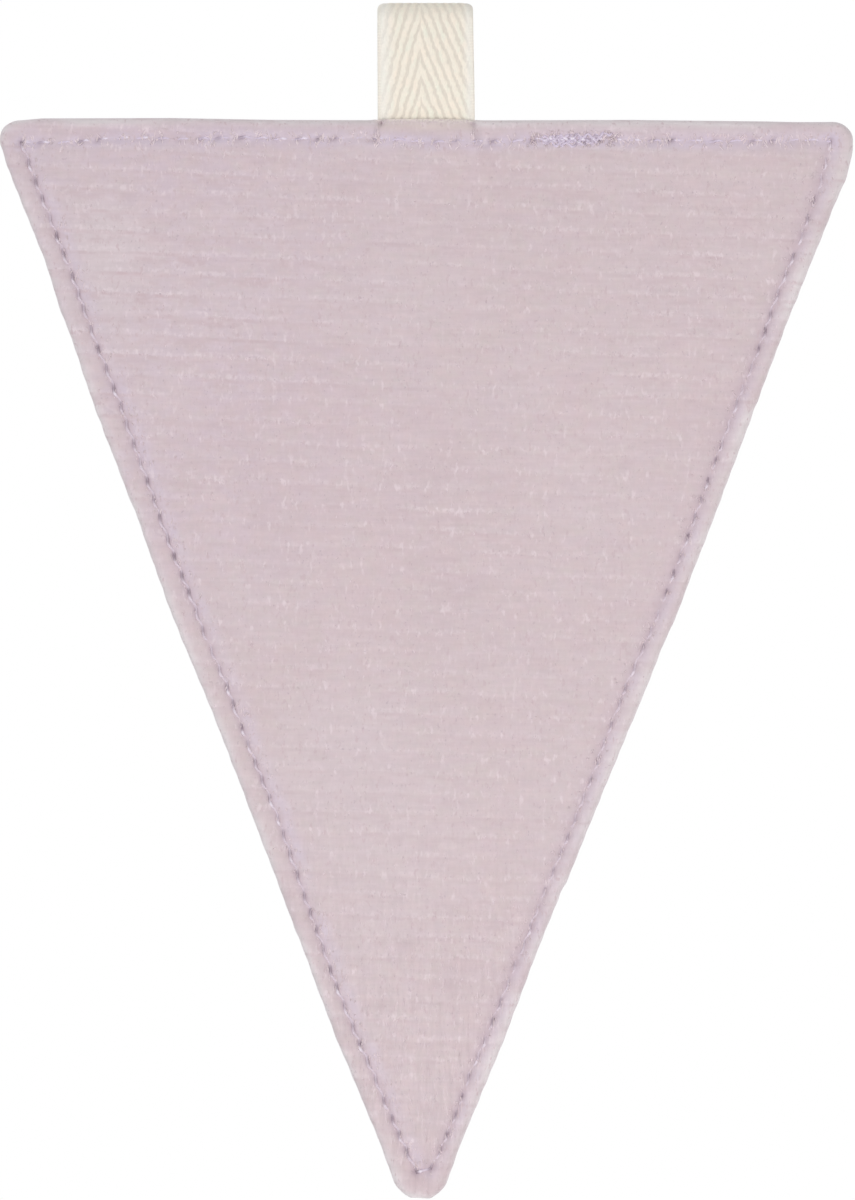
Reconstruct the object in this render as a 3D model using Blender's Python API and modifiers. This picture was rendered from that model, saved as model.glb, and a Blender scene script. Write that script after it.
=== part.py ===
"""Bunting pennant: two ribbed velvet panels, sewn together and turned, on a loop of cotton tape.

Metres, +Z up, the front facing -Y. The origin is the inside of the loop's fold, where a line would
run through it along X, so the cloth hangs below the origin.
"""
import math

import bmesh
import bpy
import numpy as np

MM = 0.001

# The outline from the front: three corners before rounding as (x, z), and how far the sides bow out
TOP_LEFT = np.array((-89.3, -23.2)) * MM
TOP_RIGHT = np.array((90.5, -24.0)) * MM
TIP = np.array((-1.1, -254.9)) * MM
RIGHT_BOW = 1.0 * MM
LEFT_BOW = 1.5 * MM
TOP_LEFT_RADIUS = 4.3 * MM
TOP_RIGHT_RADIUS = 4.6 * MM
TIP_RADIUS = 5.5 * MM
SIDE_STEPS = 60
ARC_STEPS = 24

# The two panels lie back to back on the seam's plane, a little apart
PANEL_GAP = 0.3 * MM

# The row of stitches runs a little unevenly, further in on the left than on the right
STITCH_MARGIN = 4.4 * MM
LEFT_MARGIN = 4.6 * MM
RIGHT_MARGIN = 3.6 * MM
TOP_MARGIN = 4.1 * MM
MARGIN_BLEND = 4.0 * MM

# Columns: distance in from a side edge near the rim, then shares of the row's width in between
RIM_COLUMNS = np.array((0.0, 0.5, 1.6, 2.8, 3.8, 4.4, 5.2, 7.0, 10.5)) * MM
SIDE_SLANT = 1.07
MIDDLE_COLUMNS = (0.28, 0.42, 0.438, 0.562, 0.58, 0.72)
RIM_SHARE = 0.25

# Rows: below the top edge, then one for each rib's ridge and valley, then above the tip
TOP_ROWS = np.array((0.0, 0.15, 0.55, 1.4, 2.5, 3.5, 4.1, 4.9, 6.3)) * MM
TIP_ROWS = np.array((3.2, 2.2, 1.3, 0.6, 0.15, 0.0)) * MM
TIP_SPACE = 1.0 * MM
FIRST_RIDGE = -32.0 * MM
RIB_PITCH = 4.2 * MM
RIB_RELIEF = 0.25 * MM
RIB_FADE = 1.2 * MM
RIB_TILT = math.radians(-2.5)
RIB_TILT_DEPTH = 20.0 * MM

# Height of a panel's outer face over the seam's plane: at the rim the turned-in seam allowance
# makes a welt, the row of stitches pulls a groove, and the allowance ends 9 mm in
RIM_PROFILE = (
    # (distance from edge at a margin of 4.4, height, height over the tape's ends), all in mm
    (0.0, 0.35, 1.75),
    (0.5, 1.25, 2.15),
    (1.6, 2.00, 2.50),
    (2.8, 2.05, 2.55),
    (3.8, 1.65, 2.40),
    (4.4, 1.15, 2.30),
    (5.2, 1.60, 2.40),
    (7.0, 1.95, 2.45),
    (9.5, 1.80, 2.20),
    (12.0, 1.60, 1.70),
    (16.0, 1.60, 1.60),
)
CROWN = 0.45 * MM
CROWN_START = 12.0 * MM
CROWN_REACH = 28.0 * MM

# Soft uneven places of the cloth, as its front shows them
SOFT_SPOTS = (
    # (x, z, radius, height), all in mm
    (-3.0, -105.0, 13.0, -0.30),
    (5.0, -114.0, 11.0, -0.25),
    (-38.0, -62.0, 17.0, -0.22),
    (-36.0, -88.0, 20.0, -0.22),
    (-3.0, -65.0, 15.0, 0.20),
    (38.0, -92.0, 20.0, 0.25),
    (14.0, -38.0, 9.0, -0.25),
    (-68.0, -48.0, 14.0, 0.25),
    (2.0, -172.0, 26.0, 0.28),
    (-18.0, -176.0, 12.0, 0.15),
)

# How the hung cloth stands off a plane: a slow bow down its length, a forward tip, curled corners
SWAY = 0.8 * MM
TIP_CURL = 1.4 * MM
CORNER_CURL = 1.3 * MM
STRAIGHT_TO = -40.0 * MM
HALF_WIDTH = 88.0 * MM

# Rows and columns that the hidden inner face keeps
INNER_ROW_STEP = 4
INNER_COLUMNS = (0, 5, 8, 9, 10, 13, 14, 15, 18, 23)

# The loop: cotton tape folded over, its two ends side by side in the top seam
TAPE_THICKNESS = 1.0 * MM
TAPE_HALF_TOP = 9.85 * MM
TAPE_HALF_LOW = 10.05 * MM
TAPE_COLUMNS = (-1.0, -0.88, -0.3, 0.3, 0.88, 1.0)
FOLD_RADIUS = 3.4 * MM
FOLD_QUARTER_STEPS = 4
LEG_STEPS = 9
LEG_FULLNESS = 2.2
LEGS_MEET = -22.8 * MM
TAPE_END = -32.4 * MM
FOLD_EDGE_DIP = 1.4 * MM
FOLD_EDGE_POWER = 10

# The pocket that the tape's ends fill between the panels
POCKET_CLEARANCE = 0.3 * MM
POCKET_TOP = -20.0 * MM

MAUVE = (0.62, 0.50, 0.545, 1.0)
NATURAL = (0.80, 0.745, 0.64, 1.0)
VELVET_ROUGHNESS = 0.9
TAPE_ROUGHNESS = 0.85


def clear_scene():
    for obj in list(bpy.data.objects):
        bpy.data.objects.remove(obj, do_unlink=True)


def new_collection(name):
    collection = bpy.data.collections.new(name)
    bpy.context.scene.collection.children.link(collection)
    return collection


def new_material(name, colour, roughness):
    material = bpy.data.materials.new(name)
    material.use_nodes = True
    material.diffuse_color = colour
    shader = material.node_tree.nodes["Principled BSDF"]
    shader.inputs["Base Color"].default_value = colour
    shader.inputs["Roughness"].default_value = roughness
    shader.inputs["Metallic"].default_value = 0.0
    return material


def smoothstep(low, high, value):
    share = np.clip((value - low) / (high - low), 0.0, 1.0)
    return share * share * (3.0 - 2.0 * share)


def bowed_side(start, end, bow):
    """Points from start to end, the middle pushed out to the left of the way they run."""
    share = np.linspace(0.0, 1.0, SIDE_STEPS)[:, None]
    along = end - start
    outward = np.array((-along[1], along[0])) / np.linalg.norm(along)
    return start + along * share + outward * bow * 4.0 * share * (1.0 - share)


def rounded_corner(before, after, radius):
    """The arc between two sides that meet at a corner, and the sides cut back to its ends."""
    corner = after[0]
    arriving = (before[-1] - before[-2]) / np.linalg.norm(before[-1] - before[-2])
    leaving = (after[1] - after[0]) / np.linalg.norm(after[1] - after[0])
    half = math.acos(np.dot(-arriving, leaving)) / 2.0
    reach = radius / math.tan(half)
    inward = (leaving - arriving) / np.linalg.norm(leaving - arriving)
    centre = corner + inward * radius / math.sin(half)
    spoke = corner - arriving * reach - centre
    turn = np.linspace(0.0, 2.0 * half - math.pi, ARC_STEPS)
    across = np.array((-spoke[1], spoke[0]))
    arc = centre + np.cos(turn)[:, None] * spoke + np.sin(turn)[:, None] * across
    kept_before = before[np.linalg.norm(before - corner, axis=1) > reach]
    kept_after = after[np.linalg.norm(after - corner, axis=1) > reach]
    return kept_before, arc, kept_after


def outline():
    """The left and the right edge, each from the top edge down to the tip's lowest point."""
    top = bowed_side(TOP_LEFT, TOP_RIGHT, 0.0)
    right = bowed_side(TOP_RIGHT, TIP, RIGHT_BOW)
    left = bowed_side(TIP, TOP_LEFT, LEFT_BOW)
    top, right_arc, right = rounded_corner(top, right, TOP_RIGHT_RADIUS)
    right, tip_arc, left = rounded_corner(right, left, TIP_RADIUS)
    left, left_arc, top = rounded_corner(left, top, TOP_LEFT_RADIUS)
    lowest = np.argmin(tip_arc[:, 1] - tip_arc[:, 0] * math.tan(RIB_TILT))
    right_edge = np.vstack((right_arc, right, tip_arc[:lowest + 1]))
    left_edge = np.vstack((tip_arc[lowest:], left, left_arc))[::-1]
    return left_edge, right_edge


LEFT_EDGE, RIGHT_EDGE = outline()
TOP_SLOPE = (RIGHT_EDGE[0, 1] - LEFT_EDGE[0, 1]) / (RIGHT_EDGE[0, 0] - LEFT_EDGE[0, 0])
TOP_HEIGHT = LEFT_EDGE[0, 1] - LEFT_EDGE[0, 0] * TOP_SLOPE
TIP_HEIGHT = LEFT_EDGE[-1, 1] - LEFT_EDGE[-1, 0] * math.tan(RIB_TILT)


def edge_distance(x, z):
    """Distance of each point from the outline, worked out against its straight pieces."""
    ring = np.vstack((LEFT_EDGE, RIGHT_EDGE[::-1], LEFT_EDGE[:1]))
    start = ring[:-1]
    along = ring[1:] - start
    length = np.maximum((along ** 2).sum(axis=1), 1e-18)
    offset = np.stack((x, z), axis=1)[:, None, :] - start
    share = np.clip((offset * along).sum(axis=2) / length, 0.0, 1.0)
    return np.linalg.norm(offset - share[:, :, None] * along, axis=2).min(axis=1)


def row_slope(height):
    """Rows follow the top edge at the top and the tilted ribs below."""
    share = smoothstep(0.0, RIB_TILT_DEPTH, TOP_HEIGHT - height)
    return TOP_SLOPE + (math.tan(RIB_TILT) - TOP_SLOPE) * share


def row_table():
    """Each row's height at x = 0, and whether a rib's ridge runs along it."""
    top = TOP_HEIGHT - TOP_ROWS
    tip = TIP_HEIGHT + TIP_ROWS
    ribs = np.arange(FIRST_RIDGE, tip[0] + TIP_SPACE, -RIB_PITCH / 2.0)
    heights = np.concatenate((top, ribs, tip))
    ridges = np.zeros(len(heights))
    ridges[len(top):len(top) + len(ribs):2] = 1.0
    return heights, ridges


def row_end(edge, height, slope):
    """Where the row's line meets one edge."""
    level = edge[:, 1] - edge[:, 0] * slope
    return np.interp(-height, -level, edge[:, 0])


def columns(left, right):
    """The x of each column along a row, close together at the rim."""
    width = right - left
    rim = RIM_COLUMNS * min(SIDE_SLANT, RIM_SHARE * width / RIM_COLUMNS[-1])
    left_rim = left + rim * LEFT_MARGIN / STITCH_MARGIN
    right_rim = right - rim[::-1] * RIGHT_MARGIN / STITCH_MARGIN
    middle = left + width * np.array(MIDDLE_COLUMNS)
    return np.concatenate((left_rim, middle, right_rim))


def stand_off(x, z):
    """How far the seam's plane stands behind the plane y = 0."""
    down = np.clip((STRAIGHT_TO - z) / (STRAIGHT_TO - TIP_HEIGHT), 0.0, 1.0)
    bow = SWAY * np.sin(math.pi * down) ** 2 - TIP_CURL * down ** 3
    return bow - CORNER_CURL * np.abs(x / HALF_WIDTH) ** 3


def rim_distance(x, z):
    """Distance from the outline, stretched so that the row of stitches is at one value all round."""
    distance = edge_distance(x, z)
    below_top = TOP_HEIGHT + TOP_SLOPE * x - z
    near_side = smoothstep(0.0, MARGIN_BLEND, below_top - distance)
    near_right = smoothstep(-MARGIN_BLEND, MARGIN_BLEND, x - TIP[0])
    side_margin = LEFT_MARGIN + (RIGHT_MARGIN - LEFT_MARGIN) * near_right
    margin = TOP_MARGIN + (side_margin - TOP_MARGIN) * near_side
    return distance * STITCH_MARGIN / margin


def outer_height(x, z, ridge):
    """Height of a panel's outer face over the seam's plane."""
    distance = rim_distance(x, z)
    steps, plain, taped = np.array(RIM_PROFILE).T * MM
    over_tape = 1.0 - smoothstep(TAPE_HALF_LOW + 0.8 * MM, TAPE_HALF_LOW + 3.8 * MM, np.abs(x))
    near_top = smoothstep(TAPE_END - 8.0 * MM, TAPE_END - 2.0 * MM, z)
    height = np.interp(distance, steps, plain)
    height += (np.interp(distance, steps, taped) - height) * over_tape * near_top
    height += CROWN * smoothstep(CROWN_START, CROWN_START + CROWN_REACH, distance)
    for spot in SOFT_SPOTS:
        spot_x, spot_z, radius, rise = np.array(spot) * MM
        height += rise * np.exp(-((x - spot_x) ** 2 + (z - spot_z) ** 2) / radius ** 2)
    return height + RIB_RELIEF * ridge * smoothstep(0.0, RIB_FADE, distance)


def lay_out_panel(bm, facing):
    """The outer face: a grid drawn out to the outline, each row along a rib."""
    heights, ridges = row_table()
    column_count = 2 * len(RIM_COLUMNS) + len(MIDDLE_COLUMNS)
    bmesh.ops.create_grid(bm, x_segments=column_count - 1, y_segments=len(heights) - 1, size=1.0)
    row_layer = bm.verts.layers.int.new("row")
    column_layer = bm.verts.layers.int.new("column")
    for vert in bm.verts:
        vert[row_layer] = round((1.0 - vert.co.y) / 2.0 * (len(heights) - 1))
        vert[column_layer] = round((1.0 + vert.co.x) / 2.0 * (column_count - 1))
    slopes = row_slope(heights)
    rows = []
    for height, slope in zip(heights, slopes):
        left = row_end(LEFT_EDGE, height, slope)
        right = row_end(RIGHT_EDGE, height, slope)
        rows.append(columns(left, right))
    x = np.array([rows[vert[row_layer]][vert[column_layer]] for vert in bm.verts])
    row = np.array([vert[row_layer] for vert in bm.verts])
    z = heights[row] + slopes[row] * x
    y = stand_off(x, z) + facing * outer_height(x, z, ridges[row])
    for vert, place in zip(bm.verts, zip(x, y, z)):
        vert.co = place


def thin_inner_face(bm, inner_verts):
    """The hidden face keeps only some of its rows and columns."""
    row_layer = bm.verts.layers.int["row"]
    column_layer = bm.verts.layers.int["column"]
    spare = []
    for edge in bm.edges:
        if not all(inner_verts.issuperset(face.verts) for face in edge.link_faces):
            continue
        first, second = edge.verts
        if first[row_layer] == second[row_layer]:
            kept = first[row_layer] % INNER_ROW_STEP == 0
        else:
            kept = first[column_layer] in INNER_COLUMNS
        if not kept:
            spare.append(edge)
    bmesh.ops.dissolve_edges(bm, edges=spare, use_verts=True)


def add_panel(name, facing, material, collection, pocket):
    """One panel with its turned-in allowance, its outer face towards -Y (facing -1) or +Y (1)."""
    bm = bmesh.new()
    lay_out_panel(bm, facing)
    bmesh.ops.remove_doubles(bm, verts=bm.verts, dist=0.001 * MM)
    extruded = bmesh.ops.extrude_face_region(bm, geom=bm.faces[:])
    inner_verts = {item for item in extruded["geom"] if isinstance(item, bmesh.types.BMVert)}
    for vert in inner_verts:
        seam = float(stand_off(vert.co.x, vert.co.z))
        vert.co.y = seam + facing * PANEL_GAP / 2.0
    thin_inner_face(bm, inner_verts)
    bmesh.ops.recalc_face_normals(bm, faces=bm.faces)
    mesh = bpy.data.meshes.new(name)
    bm.to_mesh(mesh)
    bm.free()
    mesh.shade_smooth()
    mesh.set_sharp_from_angle(angle=math.radians(50))
    mesh.materials.append(material)
    panel = bpy.data.objects.new(name, mesh)
    collection.objects.link(panel)
    cut = panel.modifiers.new("tape pocket", "BOOLEAN")
    cut.operation = "DIFFERENCE"
    cut.solver = "EXACT"
    cut.object = pocket
    return panel


def add_pocket(collection):
    """The space for the tape's two ends, with room all round."""
    half_depth = PANEL_GAP / 2.0 + TAPE_THICKNESS + POCKET_CLEARANCE
    half_width = TAPE_HALF_LOW + POCKET_CLEARANCE
    low = TAPE_END - 2.0 * POCKET_CLEARANCE
    bm = bmesh.new()
    bmesh.ops.create_cube(bm, size=1.0)
    bmesh.ops.scale(bm, verts=bm.verts, vec=(2.0 * half_width, 2.0 * half_depth, POCKET_TOP - low))
    bmesh.ops.translate(bm, verts=bm.verts, vec=(0.0, 0.0, (POCKET_TOP + low) / 2.0))
    mesh = bpy.data.meshes.new("pocket_cutter")
    bm.to_mesh(mesh)
    bm.free()
    pocket = bpy.data.objects.new("pocket_cutter", mesh)
    pocket.hide_render = True
    pocket.display_type = "WIRE"
    collection.objects.link(pocket)
    return pocket


def tape_path():
    """The middle of the tape seen from the side as (y, z), from the front end over to the back end."""
    radius = FOLD_RADIUS + TAPE_THICKNESS / 2.0
    fold_middle = TAPE_THICKNESS / 2.0 - radius
    leg_y = (PANEL_GAP + TAPE_THICKNESS) / 2.0
    share = np.linspace(0.0, 1.0, LEG_STEPS + 1)
    leg_out = leg_y + (radius - leg_y) * (1.0 - (1.0 - share) ** LEG_FULLNESS)
    leg_z = LEGS_MEET + (fold_middle - LEGS_MEET) * share
    angle = np.linspace(math.pi, math.pi / 2.0, FOLD_QUARTER_STEPS + 1)[1:]
    fold_y = radius * np.cos(angle)
    fold_z = fold_middle + radius * np.sin(angle)
    front_y = np.concatenate(((-leg_y,), -leg_out, fold_y))
    front_z = np.concatenate(((TAPE_END,), leg_z, fold_z))
    path_y = np.concatenate((front_y, -front_y[-2::-1]))
    path_z = np.concatenate((front_z, front_z[-2::-1]))
    return path_y, path_z


def add_hang_loop(material, collection):
    """The folded tape: an open strip along the path, with its thickness added."""
    path_y, path_z = tape_path()
    bm = bmesh.new()
    bmesh.ops.create_grid(bm, x_segments=len(TAPE_COLUMNS) - 1, y_segments=len(path_y) - 1, size=1.0)
    for vert in bm.verts:
        column = round((1.0 + vert.co.x) / 2.0 * (len(TAPE_COLUMNS) - 1))
        step = round((1.0 + vert.co.y) / 2.0 * (len(path_y) - 1))
        across = TAPE_COLUMNS[column]
        z = path_z[step]
        lowness = smoothstep(0.0, -LEGS_MEET, -z)
        near_fold = smoothstep(-FOLD_RADIUS, 0.0, z)
        half_width = TAPE_HALF_TOP + (TAPE_HALF_LOW - TAPE_HALF_TOP) * lowness
        dip = FOLD_EDGE_DIP * abs(across) ** FOLD_EDGE_POWER * near_fold
        vert.co = (across * half_width, path_y[step], z - dip)
    bmesh.ops.recalc_face_normals(bm, faces=bm.faces)
    mesh = bpy.data.meshes.new("hang_loop")
    bm.to_mesh(mesh)
    bm.free()
    mesh.shade_smooth()
    mesh.materials.append(material)
    loop = bpy.data.objects.new("hang_loop", mesh)
    collection.objects.link(loop)
    wall = loop.modifiers.new("tape thickness", "SOLIDIFY")
    wall.thickness = TAPE_THICKNESS
    wall.offset = 0.0
    wall.use_even_offset = True
    return loop


def build():
    clear_scene()
    parts = new_collection("bunting_pennant")
    cutters = new_collection("cutters")
    velvet = new_material("velvet", MAUVE, VELVET_ROUGHNESS)
    tape = new_material("tape", NATURAL, TAPE_ROUGHNESS)
    pocket = add_pocket(cutters)
    add_panel("front_panel", -1, velvet, parts, pocket)
    add_panel("back_panel", 1, velvet, parts, pocket)
    add_hang_loop(tape, parts)


build()
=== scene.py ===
import math

import bmesh
import bpy
import numpy as np
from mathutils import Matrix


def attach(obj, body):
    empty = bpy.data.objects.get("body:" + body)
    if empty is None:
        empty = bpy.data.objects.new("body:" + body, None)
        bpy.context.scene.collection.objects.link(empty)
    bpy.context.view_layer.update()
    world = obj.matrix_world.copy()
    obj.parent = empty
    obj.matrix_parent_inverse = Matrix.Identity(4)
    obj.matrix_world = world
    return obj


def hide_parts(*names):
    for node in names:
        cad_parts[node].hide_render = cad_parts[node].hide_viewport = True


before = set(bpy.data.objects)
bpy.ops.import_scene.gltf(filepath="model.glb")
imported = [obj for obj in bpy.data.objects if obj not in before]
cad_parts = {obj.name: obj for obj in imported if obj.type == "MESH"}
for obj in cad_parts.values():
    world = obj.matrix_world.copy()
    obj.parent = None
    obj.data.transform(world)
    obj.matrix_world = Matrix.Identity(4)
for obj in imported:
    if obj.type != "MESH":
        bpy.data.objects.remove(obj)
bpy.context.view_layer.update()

MM = 0.001

# ------------------------------------------------------------------------------------- camera
# The pennant is seen square on from the front, from so far off that nothing shows in perspective.
# The view takes in 176.3 by 247.4 mm, its middle a little to the right of the loop's.
VIEW_HEIGHT = 247.44 * MM
CAMERA_DISTANCE = 1500.0 * MM
VIEW_MIDDLE = (0.47 * MM, -122.5 * MM)
SENSOR_MM = 36.0
FARTHEST_SEEN = 20.0

camera_data = bpy.data.cameras.new("photo_camera")
camera_data.sensor_width = SENSOR_MM
camera_data.lens = SENSOR_MM * CAMERA_DISTANCE / VIEW_HEIGHT
camera_data.clip_end = FARTHEST_SEEN
camera = bpy.data.objects.new("photo_camera", camera_data)
camera.location = (VIEW_MIDDLE[0], -CAMERA_DISTANCE, VIEW_MIDDLE[1])
camera.rotation_euler = (math.radians(90.0), 0.0, 0.0)
bpy.context.scene.collection.objects.link(camera)
bpy.context.scene.camera = camera


# ------------------------------------------------------------------ the two ribbed velvet panels
# Each panel is a triangle of cotton velvet with low crosswise ribs. The two are sewn right sides
# together, turned out and pressed: the turned-in allowance makes a soft welt round the rim, the row
# of stitches pulls a groove inside it, and the tape's ends lift the cloth at the top middle.
TOP_LEFT = np.array((-89.3, -23.2)) * MM
TOP_RIGHT = np.array((90.5, -24.0)) * MM
TIP = np.array((-1.1, -254.6)) * MM
RIGHT_BOW = 1.0 * MM
LEFT_BOW = 1.5 * MM
TOP_LEFT_RADIUS = 3.8 * MM
TOP_RIGHT_RADIUS = 4.6 * MM
TIP_RADIUS = 5.5 * MM
SIDE_STEPS = 300
ARC_STEPS = 40

# Where the turned edge stands out from, or in from, its smooth line: (height, outwards) in mm
LEFT_UNEVEN = (
    (-26, -0.1), (-33, 0.3), (-41, 0.0), (-53, -0.45), (-60, -0.1), (-64, 0.05), (-68, -0.1),
    (-82, 0.31), (-102.6, 0.1), (-104.2, -0.2), (-112, 0.2), (-118, 0.15), (-125, 0.4),
    (-131, 0.15), (-148, -0.33), (-164, -0.34), (-198, -0.02), (-213, 0.35), (-225, 0.07),
    (-234, -0.05), (-240, 0.2), (-246, 0.25),
)
RIGHT_UNEVEN = (
    (-26, 0.0), (-28.3, -0.35), (-31.5, 0.1), (-35.5, 0.6), (-42, 0.25), (-53, 0.07),
    (-66, -0.14), (-82, 0.04), (-98, 0.27), (-112, 0.45), (-118, 0.42), (-125, 0.65),
    (-131, 0.28), (-143, 0.3), (-148, 0.17), (-164, -0.04), (-181, -0.1), (-182.6, -0.38),
    (-198, -0.25), (-213, 0.18), (-234, 0.1), (-240, 0.35), (-246, 0.4),
)
TOP_UNEVEN = (
    (-89, -0.3), (-86, -0.65), (-83, -0.42), (-79, -0.02), (-72, 0.05), (-52, 0.22), (-32, -0.05),
    (-11.6, -0.03), (-10.4, 0.05), (-9.7, 0.0), (-7, 0.18), (0, 0.26), (8, 0.16), (9.9, -0.05),
    (10.7, 0.1), (11.6, 0.04), (42, 0.26), (70, 0.04), (76, -0.08), (82, -0.06), (86, 0.0),
)
TOP_LIFT_DEPTH = 7.0 * MM

# How far the side edges waver between those places, in patches of that size, and show each rib
EDGE_WAVER = 0.07 * MM
EDGE_WAVER_SIZE = (400.0 * MM, 2.6 * MM)
EDGE_RIB = 0.045 * MM

# The rows of topstitching, through these points: (x, z) in mm
STITCH_LEFT = (
    (-83.2, -28.3), (-80.5, -36.0), (-75.1, -49.0), (-60.5, -88.8), (-51.1, -115.3),
    (-45.7, -128.5), (-30.3, -167.9), (-25.6, -181.2), (-21.0, -194.5), (-16.0, -207.8),
    (-10.3, -220.8), (-4.5, -235.0), (-1.9, -240.2),
)
STITCH_RIGHT = (
    (83.5, -28.0), (81.9, -35.3), (76.9, -48.6), (66.8, -75.3), (61.7, -88.4), (51.9, -115.1),
    (46.6, -128.4), (41.0, -141.3), (30.8, -167.9), (20.0, -194.0), (9.3, -220.4), (4.8, -232.5),
    (1.2, -239.5),
)
STITCH_TOP = (
    (-83.2, -28.3), (-74.0, -28.3), (-65.0, -27.5), (-45.0, -27.4), (-10.0, -27.4), (-1.0, -28.0),
    (16.0, -28.0), (24.0, -27.5), (36.0, -27.6), (50.0, -27.9), (83.5, -28.0),
)
STITCH_TIP = ((-1.9, -240.2), (1.2, -239.5))
LINE_STEP = 0.8 * MM
LINE_LEAST_STEPS = 20
LINE_SOFT_STEPS = 8
LINE_SOFTNESS = 22.0
LINE_WANDER = 0.16 * MM
LINE_WANDER_STEP = 7.0 * MM
STITCH_PITCH = 4.1 * MM
STITCH_UNEVEN = 0.32 * MM
STITCH_DEPTH = 4.4 * MM

# How hard the thread pulls in each row's holes, (least, most, how rare the most is), and the holes
ROW_PULL = ((0.05, 0.78, 1.4), (0.42, 0.80, 0.8), (0.36, 0.83, 0.9), (0.5, 0.7, 1.0))
TIP_STITCHES = 5
TIP_PULL = 0.76
ROW_SLANT = (0.75, -0.2, 0.0, 0.0)
HOLE_LENGTH = 0.95 * MM
HOLE_WIDTH = 0.52 * MM
HOLE_REACH = 2.5 * MM
NOTCH_PULL = 0.7

# The face's height over the seam's plane, by depth in from the rim, with the stitches at 4.4
RIM_PROFILE = (
    # (depth, height, height over the tape's ends), all in mm
    (-1.0, 1.75, 2.30),
    (0.8, 1.92, 2.50),
    (1.6, 1.98, 2.58),
    (2.6, 1.93, 2.55),
    (3.7, 1.68, 2.42),
    (4.4, 1.38, 2.28),
    (5.1, 1.66, 2.38),
    (6.4, 1.88, 2.45),
    (9.0, 1.86, 2.20),
    (12.0, 1.70, 1.75),
    (30.0, 1.65, 1.65),
)
SEAM_LIP = 0.30 * MM
SEAM_LIP_AT_TAPE = 1.30 * MM
RIM_ROUND = 1.5 * MM
PROFILE_SOFTNESS = 0.32 * MM
PROFILE_STEP = 0.02 * MM
CROWN = 0.45 * MM
CROWN_FROM = 12.0 * MM
CROWN_FULL = 40.0 * MM
SOFT_SPOTS = (
    # (x, z, radius, height), all in mm
    (-3.0, -105.0, 13.0, -0.30),
    (5.0, -114.0, 11.0, -0.25),
    (-38.0, -62.0, 17.0, -0.22),
    (-36.0, -88.0, 20.0, -0.22),
    (-3.0, -65.0, 15.0, 0.20),
    (38.0, -92.0, 20.0, 0.25),
    (14.0, -38.0, 9.0, -0.25),
    (-68.0, -48.0, 14.0, 0.25),
    (2.0, -172.0, 26.0, 0.28),
    (-18.0, -176.0, 12.0, 0.15),
)
TAPE_HALF_WIDTH = 10.0 * MM
TAPE_END = -32.4 * MM
TAPE_RIM = 0.3 * MM
POCKET_HEIGHT = 1.2 * MM
TAPE_NOTCHES = ((-9.2, -24.25), (9.9, -24.4))
NOTCH_DEPTH = 1.0 * MM
FACE_PATCHES = (
    # (amount, width, height, seed), all but the seed in mm
    (0.05, 5.0, 4.0, 2),
    (0.09, 13.0, 9.0, 3),
    (0.02, 1.7, 3.0, 4),
)

# The ribs: how far apart, how tilted, how high, and where they stand out more
RIB_PITCH = 4.202 * MM
RIB_FIRST = -31.99 * MM
RIB_TILT = math.tan(math.radians(-2.5))
RIB_TILT_DEPTH = 20.0 * MM
RIB_RELIEF = 0.09 * MM
RIB_RIDGES = (
    # (how far down from one rib to the next, half width, height)
    (0.0, 0.11, 1.0),
    (0.6, 0.10, 0.4),
)
RIB_SWELL = 0.45
RIB_SWELL_AT = 0.1
RIB_WANDER = 0.35 * MM
RIB_WANDER_SIZE = (16.0 * MM, 4.2 * MM)
RIB_LEAST = 0.66
RIB_BROKEN = (
    # (amount, width, height, seed), the sizes in mm
    (0.5, 9.0, 2.1, 1),
    (0.4, 3.5, 2.1, 6),
)
RIB_STRONG = (
    # (x, z, radius, how much more), the first three in mm
    (-52.0, -58.0, 34.0, 1.2),
    (55.0, -60.0, 30.0, 0.6),
    (-1.0, -206.0, 34.0, 0.45),
    (-25.0, -34.0, 12.0, 0.5),
    (30.0, -35.0, 12.0, 0.4),
    (6.0, -108.0, 12.0, 0.8),
    (8.0, -140.0, 34.0, 0.2),
    (0.0, -180.0, 22.0, 0.1),
)

# Where the pile lies lighter (above 0) or pinker and darker (below 0), and at random: painted light
# and shade of the nap and of the cloth's soft hollows
NAP_LIGHT_AND_SHADE_PATCHES = ((0.14, 22.0, 16.0, 61), (0.19, 8.0, 5.0, 62))
NAP_LIGHT_AND_SHADE_SPOTS = (
    # (x, z, radius, amount), the first three in mm
    (-42.0, -80.0, 18.0, -0.25),
    (-18.0, -64.0, 12.0, 0.3),
    (-28.0, -104.0, 9.0, -0.3),
    (21.0, -40.0, 10.0, -0.25),
    (21.0, -148.0, 8.0, 0.3),
    (-66.0, -60.0, 6.0, 0.4),
    (-52.0, -33.0, 14.0, -0.35),
    (-66.0, -48.0, 9.0, 0.9),
    (-53.0, -76.0, 6.0, 0.2),
    (-2.0, -105.0, 8.0, -0.15),
    (5.0, -118.0, 9.0, -0.4),
    (9.0, -90.0, 14.0, -0.25),
    (2.0, -133.0, 9.0, -0.3),
    (30.0, -98.0, 14.0, 0.3),
    (36.0, -66.0, 14.0, 0.2),
    (2.0, -55.0, 14.0, 0.2),
    (62.0, -50.0, 12.0, 0.1),
    (-60.0, -56.0, 26.0, 0.55),
    (-38.0, -123.0, 8.0, 0.4),
    (-24.0, -156.0, 13.0, 0.5),
    (-14.0, -196.0, 7.0, 0.3),
    (-8.0, -152.0, 14.0, 0.25),
    (-2.0, -172.0, 18.0, 0.3),
    (10.0, -200.0, 9.0, -0.3),
    (-1.0, -243.5, 4.5, -1.2),
    (-14.5, -25.0, 4.0, 0.9),
    (-84.0, -38.0, 6.0, 0.5),
)

# Patches of the thread's fluff and its painted sheen in the pile, (amount, width, height, seed), and
# the most of it
HAZE_PATCHES = ((0.4, 7.0, 5.0, 72), (0.45, 2.2, 2.2, 73))
HAZE_MOST = 1.7

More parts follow.
